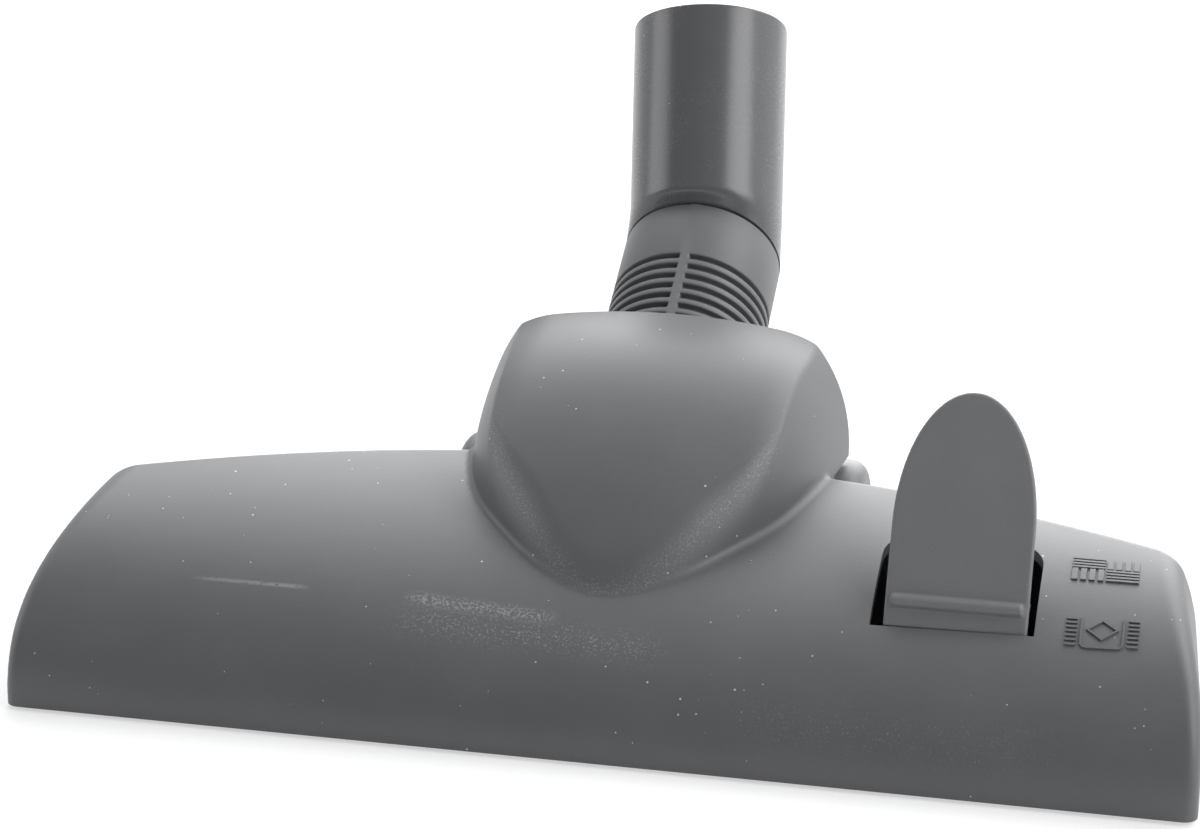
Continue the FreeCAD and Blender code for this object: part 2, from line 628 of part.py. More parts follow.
def chassis_shell():
    """Floor with its rim, tail, suction channel and duct."""
    floor = head_body(CHASSIS_INSET, LOW_Z).common(slab(SOLE_THICKNESS, FLOOR_TOP))
    rim = head_body(CHASSIS_INSET, LOW_Z).cut(head_body(CHASSIS_INSET + CHASSIS_WALL, LOW_Z - BLEND))
    body = floor.fuse(rim.common(slab(FLOOR_TOP - BLEND, FLOOR_TOP + CHASSIS_RIM_HEIGHT)))
    low = FLOOR_TOP - BLEND
    tail_front = RIDGE_Y - CHASSIS_INSET
    tail_rear = RIDGE_Y + RIDGE_RADIUS + TAIL_LENGTH
    tail = box(-EAR_OUTER_X, EAR_OUTER_X, tail_front, tail_rear, SOLE_THICKNESS, FLOOR_TOP)
    wall = CHASSIS_WALL
    half = CHANNEL_HALF + wall
    top = CHANNEL_HEIGHT + wall
    roof = box(-half, half, CHANNEL_FRONT - wall, CHANNEL_REAR + wall, low, top)
    long_top = [e for e in roof.Edges if e.BoundBox.ZMin > top - BLEND and e.BoundBox.XLength > half]
    duct = duct_solid(duct_face().makeOffset2D(wall), MOUTH_HALF + wall).common(slab(low, ROOF_TOP))
    return body.fuse(tail).fuse(roof.makeFillet(CHANNEL_ROUND, long_top)).fuse(duct)


def rim_gusset(x):
    """Triangular web that stiffens the chassis rim behind the rear bristles."""
    inner_y = ridge_y(x) + RIDGE_RADIUS - CHASSIS_INSET - CHASSIS_WALL
    side_view = [
        (inner_y - GUSSET_LENGTH, FLOOR_TOP - BLEND),
        (inner_y + BLEND, FLOOR_TOP + GUSSET_HEIGHT),
        (inner_y + BLEND, FLOOR_TOP - BLEND),
    ]
    return profile_yz(side_view, x - GUSSET_THICKNESS / 2, x + GUSSET_THICKNESS / 2)


def make_ear():
    """Upright bearer with the drum's bearing above and the wheel's axle boss behind."""
    side_view = [
        (PIVOT_Y - EAR_FOOT_REACH, FLOOR_TOP - BLEND),
        (PIVOT_Y - EAR_RADIUS, PIVOT_Z),
        (PIVOT_Y + EAR_RADIUS, PIVOT_Z),
        (WHEEL_Y + AXLE_BOSS_RADIUS, WHEEL_RADIUS),
        (WHEEL_Y + EAR_FOOT_REAR, FLOOR_TOP - BLEND),
    ]
    ear = profile_yz(side_view, EAR_INNER_X, EAR_OUTER_X)
    ear = ear.fuse(rod(EAR_RADIUS, EAR_INNER_X, EAR_OUTER_X, PIVOT_Y, PIVOT_Z))
    boss_end = WHEEL_INNER_X - AXLE_BOSS_GAP
    return ear.fuse(rod(AXLE_BOSS_RADIUS, EAR_INNER_X, boss_end, WHEEL_Y, WHEEL_RADIUS))


def pedal_post(side):
    """Post on the channel's roof that carries one end of the pedal pin."""
    side_view = [
        (CHANNEL_REAR + CHASSIS_WALL - POST_FOOT - POST_RADIUS, CHANNEL_HEIGHT + BLEND),
        (PEDAL_PIVOT_Y - POST_RADIUS, PEDAL_PIVOT_Z),
        (PEDAL_PIVOT_Y + POST_RADIUS, PEDAL_PIVOT_Z),
        (CHANNEL_REAR + CHASSIS_WALL, CHANNEL_HEIGHT + BLEND),
    ]
    x0 = PEDAL_X + min(side * POST_INNER_X, side * POST_OUTER_X)
    post = profile_yz(side_view, x0, x0 + POST_WIDTH)
    return post.fuse(rod(POST_RADIUS, x0, x0 + POST_WIDTH, PEDAL_PIVOT_Y, PEDAL_PIVOT_Z))


def pedal_pin():
    ends = (PEDAL_X - POST_OUTER_X, PEDAL_X + POST_OUTER_X)
    return rod(PEDAL_PIN_RADIUS, ends[0], ends[1], PEDAL_PIVOT_Y, PEDAL_PIVOT_Z)


def make_chassis():
    """Base moulding: floor, rim, suction channel, duct to the drum, ears, trough and brush slots."""
    body = chassis_shell()
    trough = drum_sector(SWEPT_RADIUS + CHASSIS_WALL, TROUGH_FROM, TROUGH_TO, EAR_INNER_X + BLEND)
    body = body.fuse(trough).fuse(make_ear()).fuse(mirrored(make_ear()))
    body = body.cut(rod(SWEPT_RADIUS, -EAR_INNER_X, EAR_INNER_X, PIVOT_Y, PIVOT_Z))
    well_front = WHEEL_Y - WHEEL_RADIUS - WHEEL_GAP
    rim_top = FLOOR_TOP + CHASSIS_RIM_HEIGHT
    well = box(EAR_OUTER_X, WELL_HALF, well_front, WHEEL_Y + WHEEL_RADIUS, LOW_Z, rim_top)
    body = body.cut(well).cut(mirrored(well))
    for side in (-1, 1):
        guide_top = FLOOR_TOP + GUIDE_HEIGHT
        body = body.fuse(upright(GUIDE_RADIUS, side * CROSSBAR_X, SPRING_Y, FLOOR_TOP - BLEND, guide_top))
        body = body.fuse(pedal_post(side))
        for x in GUSSET_STATIONS:
            body = body.fuse(rim_gusset(side * x))
    channel = box(-CHANNEL_HALF, CHANNEL_HALF, CHANNEL_FRONT, CHANNEL_REAR, LOW_Z, CHANNEL_HEIGHT)
    body = body.cut(channel).cut(duct_solid(duct_face(), MOUTH_HALF))
    for slot in brush_slots(LOW_Z, FLOOR_TOP + BLEND):
        body = body.cut(slot)
    body = body.cut(pedal_pin())
    body = body.cut(rod(PIVOT_PIN_RADIUS, -EAR_OUTER_X, EAR_OUTER_X, PIVOT_Y, PIVOT_Z))
    axle_hole = rod(AXLE_RADIUS, EAR_INNER_X, WHEEL_INNER_X, WHEEL_Y, WHEEL_RADIUS)
    body = body.cut(axle_hole).cut(mirrored(axle_hole))
    for x, y in screw_places():
        body = body.cut(upright(SCREW_RADIUS + SCREW_PLAY, x, y, LOW_Z, FLOOR_TOP + PAST))
        body = body.cut(upright(SCREW_HEAD_RADIUS + SCREW_PLAY, x, y, LOW_Z, SCREW_SEAT_Z))
    return body


def lint_places():
    half_slot = BRISTLE_WIDTH / 2 + BRUSH_SLOT_GAP
    front = (FRONT_BRUSH_Y + half_slot + CHANNEL_FRONT) / 2
    rear = (REAR_BRUSH_Y - half_slot + CHANNEL_REAR) / 2
    return (front, rear)


def make_sole_plate():
    """Thin plate under the chassis, open at the channel, the brush slots, the lint strips and the screws."""
    plate = head_body(CHASSIS_INSET + SOLE_SETBACK, LOW_Z).common(slab(0, SOLE_THICKNESS))
    rear = REAR_BRUSH_Y + SOLE_REAR_LAND
    plate = plate.common(box(-HALF, HALF, FRONT_Y, rear, LOW_Z, SOLE_THICKNESS))
    corners = [e for e in plate.Edges if e.BoundBox.ZLength > SOLE_THICKNESS / 2]
    plate = plate.makeFillet(SOLE_CORNER, [e for e in corners if e.BoundBox.XLength < BLEND])
    plate = plate.cut(box(-CHANNEL_HALF, CHANNEL_HALF, CHANNEL_FRONT, CHANNEL_REAR, LOW_Z, FLOOR_TOP))
    for slot in brush_slots(LOW_Z, FLOOR_TOP):
        plate = plate.cut(slot)
    for x, y in screw_places():
        plate = plate.cut(upright(SCREW_HEAD_RADIUS + SOLE_HOLE_PLAY, x, y, LOW_Z, FLOOR_TOP))
    for y in lint_places():
        reach = LINT_WIDTH / 2
        plate = plate.cut(box(-LINT_HALF, LINT_HALF, y - reach, y + reach, LOW_Z, FLOOR_TOP))
    return plate


def make_lint_strip(y):
    half = LINT_HALF - LINT_SIDE_GAP
    reach = LINT_WIDTH / 2 - LINT_SIDE_GAP
    return box(-half, half, y - reach, y + reach, LINT_RECESS, SOLE_THICKNESS)


def make_bracket(x0):
    """Plate on the brush frame's rear bar with a level slot for the pedal's lift pin."""
    reach = LIFT_PIN_RADIUS + LIFT_SLOT_PLAY
    height = LIFT_PIN_RADIUS + LIFT_SLOT_GAP
    half = CARRIER_WIDTH / 2
    side_view = [
        (REAR_BRUSH_Y - half, CARRIER_TOP - BLEND),
        (REAR_BRUSH_Y - half, CARRIER_TOP + height),
        (LIFT_PIN_Y - reach - BRACKET_LAND, LIFT_PIN_Z - height - BRACKET_LAND),
        (LIFT_PIN_Y - reach - BRACKET_LAND, LIFT_PIN_Z + height + BRACKET_LAND),
        (LIFT_PIN_Y + reach + BRACKET_LAND, LIFT_PIN_Z + height + BRACKET_LAND),
        (LIFT_PIN_Y + reach + BRACKET_LAND, LIFT_PIN_Z - height - BRACKET_LAND),
        (REAR_BRUSH_Y + half, CARRIER_TOP + BRACKET_LAND),
        (REAR_BRUSH_Y + half, CARRIER_TOP - BLEND),
    ]
    low, high = LIFT_PIN_Z - height, LIFT_PIN_Z + height
    slot = box(x0 - PAST, x0 + PAST, LIFT_PIN_Y - reach, LIFT_PIN_Y + reach, low, high)
    return profile_yz(side_view, x0, x0 + BRACKET_THICKNESS).cut(slot)


def make_carrier():
    """Rectangular brush frame with two lift brackets for the pedal and two spring cups."""
    half = CARRIER_WIDTH / 2
    bars = []
    for y in (FRONT_BRUSH_Y, REAR_BRUSH_Y):
        bars.append(box(-CARRIER_HALF, CARRIER_HALF, y - half, y + half, CARRIER_BOTTOM, CARRIER_TOP))
    top_edges = [e for e in bars[0].Edges if e.BoundBox.ZMin > CARRIER_TOP - BLEND]
    long_top = [e for e in top_edges if e.BoundBox.XLength > HALF]
    front_edge = [e for e in long_top if e.BoundBox.YMax < FRONT_BRUSH_Y]
    body = bars[1].fuse(bars[0].makeChamfer(CARRIER_CHAMFER, front_edge))
    for side in (-1, 1):
        x = side * CROSSBAR_X
        reach = CROSSBAR_WIDTH / 2
        bar = box(x - reach, x + reach, FRONT_BRUSH_Y, REAR_BRUSH_Y, CARRIER_BOTTOM, CARRIER_TOP)
        cup = upright(CUP_RADIUS, x, SPRING_Y, CARRIER_BOTTOM, CUP_CEILING + CUP_ROOF)
        hollow = upright(CUP_RADIUS - CUP_WALL, x, SPRING_Y, CARRIER_BOTTOM, CUP_CEILING)
        body = body.fuse(bar).fuse(cup).cut(hollow)
    bracket_outer = CHEEK_OUTER_X - CHEEK_THICKNESS - PEDAL_PLAY
    for x in (PEDAL_X - bracket_outer, PEDAL_X + bracket_outer - BRACKET_THICKNESS):
        body = body.fuse(make_bracket(x))
    for strip in (make_bristles(FRONT_BRUSH_Y), make_bristles(REAR_BRUSH_Y)):
        body = body.cut(strip)
    return body


def make_bristles(y):
    half = BRISTLE_WIDTH / 2
    return box(-BRISTLE_HALF, BRISTLE_HALF, y - half, y + half, BRISTLE_TIP_Z, CARRIER_BOTTOM + TUFT_DEPTH)


def pedal_point(along, above):
    """Point in the pedal's side view: distance along its chord from the foot, and height over the chord."""
    angle = math.radians(PEDAL_ANGLE)
    y = PEDAL_FOOT_Y + along * math.cos(angle) - above * math.sin(angle)
    z = PEDAL_FOOT_Z + along * math.sin(angle) + above * math.cos(angle)
    return Vector(0, y, z)


def pedal_tongue():
    """Curved plate cut to a tongue outline: straight flanks from the foot, then half an ellipse."""
    upper = [pedal_point(-PEDAL_TOE, 0), pedal_point(PEDAL_CHORD / 2, PEDAL_BULGE)]
    upper.append(pedal_point(PEDAL_CHORD, 0))
    down = pedal_point(0, -PEDAL_THICKNESS) - pedal_point(0, 0)
    lower = [point + down for point in upper]
    side_view = [
        Part.Arc(upper[0], upper[1], upper[2]).toShape(),
        Part.makeLine(upper[2], lower[2]),
        Part.Arc(lower[2], lower[1], lower[0]).toShape(),
        Part.makeLine(lower[0], upper[0]),
    ]
    half = PEDAL_WIDTH / 2
    plate = Part.Face(Part.Wire(side_view)).extrude(Vector(PEDAL_WIDTH, 0, 0))
    plate.translate(Vector(-half, 0, 0))
    normal = pedal_point(0, 1) - pedal_point(0, 0)
    along = pedal_point(1, 0) - pedal_point(0, 0)
    centre = pedal_point(PEDAL_SHOULDER, -PAST)
    tip = Part.Ellipse(centre + along * (PEDAL_CHORD - PEDAL_SHOULDER), centre + Vector(half, 0, 0), centre)
    arc = Part.ArcOfEllipse(tip, -math.pi / 2, math.pi / 2).toShape()
    first, last = arc.Vertexes[0].Point, arc.Vertexes[1].Point
    back = along * (PEDAL_SHOULDER + PEDAL_TOE + BLEND)
    outline = [arc, Part.makeLine(last, last - back), Part.makeLine(last - back, first - back)]
    outline.append(Part.makeLine(first - back, first))
    tongue = plate.common(Part.Face(Part.Wire(outline)).extrude(normal * 2 * PAST))
    return tongue.makeFillet(PEDAL_EDGE, tongue.Edges)


def make_pedal():
    """Foot rocker: a curved tongue plate with a grip rib, on two cheeks with hubs and lift arms."""
    rib_half = GRIP_RIB_LENGTH / 2
    rib_at = pedal_point(GRIP_RIB_OFFSET, GRIP_RIB_RISE)
    body = pedal_tongue().fuse(rod(GRIP_RIB_WIDTH / 2, -rib_half, rib_half, rib_at.y, rib_at.z))
    sink = CHEEK_SINK - PEDAL_THICKNESS
    top = [pedal_point(CHEEK_SINK, sink), pedal_point(CHEEK_LENGTH, sink + PEDAL_BULGE)]
    land_y = LIFT_PIN_Y + LIFT_PIN_LAND
    land_z = LIFT_PIN_Z - LIFT_PIN_RADIUS - LIFT_SLOT_PLAY
    cheek = [(point.y, point.z) for point in top]
    cheek += [(land_y, LIFT_PIN_Z + LIFT_PIN_RADIUS), (land_y, land_z)]
    cheek.append((PEDAL_PIVOT_Y, PEDAL_PIVOT_Z - PEDAL_HUB_RADIUS))
    cheek.append((PEDAL_PIVOT_Y - PEDAL_HUB_RADIUS, PEDAL_PIVOT_Z))
    outer = CHEEK_OUTER_X
    for x in (-outer, outer - CHEEK_THICKNESS):
        body = body.fuse(profile_yz(cheek, x, x + CHEEK_THICKNESS))
        body = body.fuse(rod(PEDAL_HUB_RADIUS, x, x + CHEEK_THICKNESS, PEDAL_PIVOT_Y, PEDAL_PIVOT_Z))
    body = body.cut(rod(PEDAL_PIN_RADIUS + RUNNING_GAP, -outer, outer, PEDAL_PIVOT_Y, PEDAL_PIVOT_Z))
    body = body.cut(rod(LIFT_PIN_RADIUS, -outer, outer, LIFT_PIN_Y, LIFT_PIN_Z))
    body.translate(Vector(PEDAL_X, 0, 0))
    return body


def coil_points(radius, turns, height):
    """Points of an upright coil that starts on the X axis and sets off along Y."""
    steps = round(turns * COIL_STEPS)
    points = []
    for step in range(steps + 1):
        angle = 2 * math.pi * step / COIL_STEPS
        points.append(Vector(radius * math.cos(angle), radius * math.sin(angle), height * step / steps))
    return points


def wire_form(points, wire):
    """Spring wire bent along the points, in short straight stretches with a section of flat sides."""
    section = []
    for side in range(WIRE_SIDES + 1):
        angle = 2 * math.pi * side / WIRE_SIDES
        section.append(points[0] + Vector(math.cos(angle), 0, math.sin(angle)) * (wire / 2))
    right_corners = 1
    path = Part.makePolygon(points)
    return path.makePipeShell([Part.makePolygon(section)], True, False, right_corners)


def make_pedal_spring():
    """Torsion spring round the pedal pin: one arm under the tongue's foot, the other down to the floor."""
    radius = PEDAL_PIN_RADIUS + PEDAL_SPRING_PLAY + PEDAL_SPRING_WIRE / 2
    length = PEDAL_SPRING_TURNS * PEDAL_SPRING_PITCH
    turned = coil_points(radius, PEDAL_SPRING_TURNS, length)
    points = [Vector(0, -PEDAL_SPRING_REACH, radius)]
    points += [Vector(-point.z, point.y, point.x) for point in turned]
    points.append(Vector(-length, radius, FLOOR_TOP - PEDAL_PIVOT_Z))
    spring = wire_form(points, PEDAL_SPRING_WIRE)
    spring.translate(Vector(PEDAL_X + length / 2, PEDAL_PIVOT_Y, PEDAL_PIVOT_Z))
    return spring


def make_wheel():
    """Moulded wheel with rounded shoulders, a recessed web and a hub round its axle."""
    x0, x1 = WHEEL_INNER_X, WHEEL_OUTER_X
    wheel = rod(WHEEL_RADIUS, x0, x1, WHEEL_Y, WHEEL_RADIUS)
    outer = [e for e in wheel.Edges if e.BoundBox.XMin > x1 - BLEND]
    wheel = wheel.makeFillet(WHEEL_SHOULDER, outer)
    inner = [e for e in wheel.Edges if e.BoundBox.XMax < x0 + BLEND]
    wheel = wheel.makeFillet(WHEEL_INNER_ROUND, inner)
    recess = rod(WHEEL_RADIUS - TREAD_WALL, x0, x0 + RECESS_DEPTH, WHEEL_Y, WHEEL_RADIUS)
    recess = recess.cut(rod(HUB_RADIUS, x0, x0 + RECESS_DEPTH, WHEEL_Y, WHEEL_RADIUS))
    reach = WHEEL_RADIUS - TREAD_WALL + BLEND
    half = SPOKE_THICKNESS / 2
    for turn in range(SPOKE_COUNT):
        spoke = box(x0 + SPOKE_SETBACK, x0 + RECESS_DEPTH, -half, half, HUB_RADIUS - BLEND, reach)
        spoke.rotate(Vector(0, 0, 0), Vector(1, 0, 0), 360.0 * turn / SPOKE_COUNT)
        spoke.translate(Vector(0, WHEEL_Y, WHEEL_RADIUS))
        recess = recess.cut(spoke)
    wheel = wheel.cut(recess)
    return wheel.cut(rod(AXLE_RADIUS + RUNNING_GAP, x0, x1, WHEEL_Y, WHEEL_RADIUS))


def make_wheel_axle():
    head_x = WHEEL_OUTER_X + AXLE_END_GAP
    end_x = head_x + AXLE_HEAD_THICKNESS
    shaft = rod(AXLE_RADIUS, EAR_INNER_X, end_x, WHEEL_Y, WHEEL_RADIUS)
    return shaft.fuse(rod(AXLE_RADIUS + AXLE_HEAD_SPREAD, head_x, end_x, WHEEL_Y, WHEEL_RADIUS))


def make_pivot_pin():
    head_end = EAR_OUTER_X + PIN_HEAD_THICKNESS
    shaft = rod(PIVOT_PIN_RADIUS, DRUM_HALF - DRUM_WALL, head_end, PIVOT_Y, PIVOT_Z)
    return shaft.fuse(rod(PIVOT_PIN_RADIUS + PIN_HEAD_SPREAD, EAR_OUTER_X, head_end, PIVOT_Y, PIVOT_Z))


def make_spring(x):
    """Coil between the chassis floor and the ceiling of its cup in the brush frame."""
    height = CUP_CEILING - FLOOR_TOP - SPRING_WIRE
    spring = wire_form(coil_points(SPRING_MEAN_RADIUS, SPRING_TURNS, height), SPRING_WIRE)
    spring.translate(Vector(x, SPRING_Y, FLOOR_TOP + SPRING_WIRE / 2))
    return spring


def make_screws():
    screws = []
    for x, y in screw_places():
        head = upright(SCREW_HEAD_RADIUS, x, y, SCREW_SEAT_Z - SCREW_HEAD_HEIGHT, SCREW_SEAT_Z)
        screws.append(head.fuse(upright(SCREW_RADIUS, x, y, SCREW_SEAT_Z, SCREW_SEAT_Z + SCREW_LENGTH)))
    return Part.makeCompound(screws)


def make_lift_pin():
    half = CHEEK_OUTER_X + PEDAL_PLAY / 2
    return rod(LIFT_PIN_RADIUS, PEDAL_X - half, PEDAL_X + half, LIFT_PIN_Y, LIFT_PIN_Z)


front_lint, rear_lint = lint_places()

save(make_cover(), "upper_cover")
save(make_chassis(), "chassis")
save(make_sole_plate(), "sole_plate")
save(make_lint_strip(front_lint), "front_lint_strip")
save(make_lint_strip(rear_lint), "rear_lint_strip")
save(make_screws(), "cover_screws")
save(make_elbow(), "neck_elbow")
save(make_snap_ring(), "neck_snap_ring")
save(make_neck_seal(), "neck_seal")
save(make_tube(), "connection_tube")
save(make_pedal(), "rocker_pedal")
save(pedal_pin(), "pedal_pin")
save(make_pedal_spring(), "pedal_spring")
save(make_lift_pin(), "lift_pin")
save(make_carrier(), "brush_carrier")
save(make_bristles(FRONT_BRUSH_Y), "front_bristle_strip")
save(make_bristles(REAR_BRUSH_Y), "rear_bristle_strip")
for side, name in ((1, "right"), (-1, "left")):
    turned = (lambda shape: shape) if side > 0 else mirrored
    save(turned(make_wheel()), name + "_wheel")
    save(turned(make_wheel_axle()), name + "_wheel_axle")
    save(turned(make_pivot_pin()), name + "_pivot_pin")
    save(make_spring(side * CROSSBAR_X), name + "_lift_spring")
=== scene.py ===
import math

import bmesh
import bpy
import numpy as np
from mathutils import Matrix, Vector


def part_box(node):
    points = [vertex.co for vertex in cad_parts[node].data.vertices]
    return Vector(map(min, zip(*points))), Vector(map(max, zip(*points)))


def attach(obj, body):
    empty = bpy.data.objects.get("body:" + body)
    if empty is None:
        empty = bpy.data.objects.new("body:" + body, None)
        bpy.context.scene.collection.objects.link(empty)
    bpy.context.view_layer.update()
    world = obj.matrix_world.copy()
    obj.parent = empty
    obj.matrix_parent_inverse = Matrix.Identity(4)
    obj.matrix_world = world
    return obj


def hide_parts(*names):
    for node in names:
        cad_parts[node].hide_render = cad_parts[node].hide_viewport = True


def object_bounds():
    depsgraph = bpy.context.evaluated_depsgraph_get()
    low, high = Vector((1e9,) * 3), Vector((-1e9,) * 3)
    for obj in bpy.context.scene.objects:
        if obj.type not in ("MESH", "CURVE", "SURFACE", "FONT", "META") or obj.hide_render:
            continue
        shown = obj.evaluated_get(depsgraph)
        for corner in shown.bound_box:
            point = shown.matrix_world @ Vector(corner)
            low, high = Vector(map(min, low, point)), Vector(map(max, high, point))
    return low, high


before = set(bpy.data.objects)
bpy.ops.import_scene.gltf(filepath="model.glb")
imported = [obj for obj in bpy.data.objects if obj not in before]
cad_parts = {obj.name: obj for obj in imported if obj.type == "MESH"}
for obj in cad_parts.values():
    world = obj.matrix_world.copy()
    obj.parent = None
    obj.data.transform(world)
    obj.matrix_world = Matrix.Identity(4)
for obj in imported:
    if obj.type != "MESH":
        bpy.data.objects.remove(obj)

cad_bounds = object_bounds()

# Cover shell.
# One large moulding of fine-textured dark grey plastic: a domed head with a bonnet over the tilting neck.
# It is open below and behind, and screwed to the chassis from underneath.
cover_low, cover_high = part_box("upper_cover")
COVER_FRONT_Y = cover_low.y
COVER_FOOT_Z = cover_low.z
COVER_HALF = 0.1374
COVER_WALL = 0.0025
RIDGE_Y = 0.0430
RIDGE_SWEEP = 0.0239
RIDGE_TOP = 0.0420
RIDGE_DROP = 0.0029
RIDGE_STATION = 0.125
RIDGE_RADIUS = 0.0040
END_TAPER = 0.061
END_ARC = 0.0438
END_ARC_START = 0.0111
END_POWER = 2.52
END_FILLET = 0.0034
BOW_SIDE = [(0.0, -0.0136), (0.0154, -0.0068), (0.0324, 0.0104), (0.0418, 0.0313), (0.0468, 0.0620)]
BOW_RAKE = 0.6
BONNET_SIDE_RADIUS = 0.0584
BONNET_WAIST_Z = 0.0340
BONNET_BASE_Z = 0.024
ROOF_SIDE = [(-0.014, 0.0306), (-0.0045, 0.0420), (0.010, 0.0540), (0.028, 0.0644), (0.047, 0.0702),
             (0.0645, 0.0720)]
ROOF_ARCH = 0.150
ROOF_FALL = 20.0
ROOF_FALL_FROM = 0.028
CREASE_RADIUS = 0.0005
SOFT_CREASE_RADIUS = 0.0060
SOFT_CREASE_FROM = 0.028
SOFT_CREASE_TO = 0.004
JUNCTION_RADIUS = 0.0016
TRIM_LOW_Z = -0.003
TRIM_REAR_Y = 0.075
SKIN_STEP = 0.0010
SKIN_MARGIN = 0.004
LINING_STEP = 0.0018


def bow_curve():
    """Even polynomial through the plan of the bonnet's side."""
    points = np.array(BOW_SIDE)
    powers = np.arange(0, 2 * len(points), 2)
    factors = np.linalg.solve((points[:, :1] * 1000) ** powers, points[:, 1])
    whole = np.zeros(powers[-1] + 1)
    whole[powers] = factors
    return whole[::-1]


BOW_POLYNOMIAL = bow_curve()
ROOF_POLYNOMIAL = np.polyfit([y * 1000 for y, z in ROOF_SIDE], [z for y, z in ROOF_SIDE], len(ROOF_SIDE) - 1)


def rounded_max(a, b, radius):
    """Where two bodies overlap, with their common edge rounded to a radius."""
    corner = np.hypot(np.maximum(a + radius, 0), np.maximum(b + radius, 0))
    return np.minimum(np.maximum(a, b), -radius) + corner


def rounded_min(a, b, radius):
    """Two bodies joined, with a fillet of a radius in the corner between them."""
    corner = np.hypot(np.maximum(radius - a, 0), np.maximum(radius - b, 0))
    return np.maximum(np.minimum(a, b), radius) - corner


def head_distance(x, y, z):
    """Distance from the domed head's skin, negative inside: quarter ellipse, rounded ridge, arched ends."""
    ridge_y = RIDGE_Y - RIDGE_SWEEP * (x / RIDGE_STATION) ** 2
    ridge_z = RIDGE_TOP - RIDGE_DROP * (x / RIDGE_STATION) ** 2
    run = ridge_y - COVER_FRONT_Y
    rise = ridge_z - COVER_FOOT_Z
    u = np.minimum(y - ridge_y, 0) / run
    v = np.maximum(z - COVER_FOOT_Z, 0) / rise
    size = np.hypot(u, v) + 1e-6
    front = (size - 1) * size / (np.hypot(u / run, v / rise) + 1e-6)
    back = y - ridge_y
    above = z - ridge_z + RIDGE_RADIUS
    corner = np.hypot(np.maximum(back, 0), np.maximum(above, 0))
    rear = corner + np.minimum(np.maximum(back, above), 0) - RIDGE_RADIUS
    dome = np.where(y < ridge_y, front, rear)
    out = x - (COVER_HALF - END_TAPER * (y - COVER_FRONT_Y) - END_ARC)
    up = z - END_ARC_START
    reach = (np.maximum(out, 0) ** END_POWER + np.maximum(up, 0) ** END_POWER) ** (1 / END_POWER)
    ends = reach + np.minimum(np.maximum(out, up), 0) - END_ARC
    return rounded_max(dome, ends, END_FILLET)


def side_and_roof(x, y, z):
    """Distances from the bonnet's leaning side and from its arched roof, which falls away to its edges."""
    climb = np.clip(z - BONNET_WAIST_Z, 0, BONNET_SIDE_RADIUS * 0.95)
    lean = BONNET_SIDE_RADIUS - np.sqrt(BONNET_SIDE_RADIUS ** 2 - climb ** 2)
    across = x / (1 - lean / BOW_SIDE[-1][0]) * 1000
    slope = np.polyval(np.polyder(BOW_POLYNOMIAL), across) * 1000
    side = (np.polyval(BOW_POLYNOMIAL, across) - y + BOW_RAKE * lean) / np.hypot(1, slope)
    arch = ROOF_ARCH - np.sqrt(ROOF_ARCH ** 2 - x ** 2) + ROOF_FALL * np.maximum(x - ROOF_FALL_FROM, 0) ** 2
    steep = np.polyval(np.polyder(ROOF_POLYNOMIAL), y * 1000) * 1000
    return side, (z - np.polyval(ROOF_POLYNOMIAL, y * 1000) + arch) / np.hypot(1, steep)


def bonnet_distance(x, y, z):
    """Distance from the bonnet's skin: side and roof, with the crease between them softer to the front."""
    side, roof = side_and_roof(x, y, z)
    share = np.clip((SOFT_CREASE_FROM - y) / (SOFT_CREASE_FROM - SOFT_CREASE_TO), 0, 1)
    crease = CREASE_RADIUS + (SOFT_CREASE_RADIUS - CREASE_RADIUS) * share ** 2 * (3 - 2 * share)
    return np.maximum(rounded_max(side, roof, crease), BONNET_BASE_Z - z)


def cover_distance(p):
    x, y, z = np.abs(p[..., 0]), p[..., 1], p[..., 2]
    both = rounded_min(head_distance(x, y, z), bonnet_distance(x, y, z), JUNCTION_RADIUS)
    return np.maximum(both, np.maximum(TRIM_LOW_Z - z, y - TRIM_REAR_Y))


def mesh_object(name, points, faces):
    mesh = bpy.data.meshes.new(name)
    mesh.from_pydata([tuple(p) for p in points], [], [tuple(f) for f in faces])
    mesh.validate()
    made = bpy.data.objects.new(name, mesh)
    bpy.context.scene.collection.objects.link(made)
    return made


def solid_object(name, points, faces):
    """Mesh object whose faces are turned outwards."""
    made = mesh_object(name, points, faces)
    work = bmesh.new()
    work.from_mesh(made.data)
    bmesh.ops.recalc_face_normals(work, faces=work.faces)
    work.to_mesh(made.data)
    work.free()
    return made


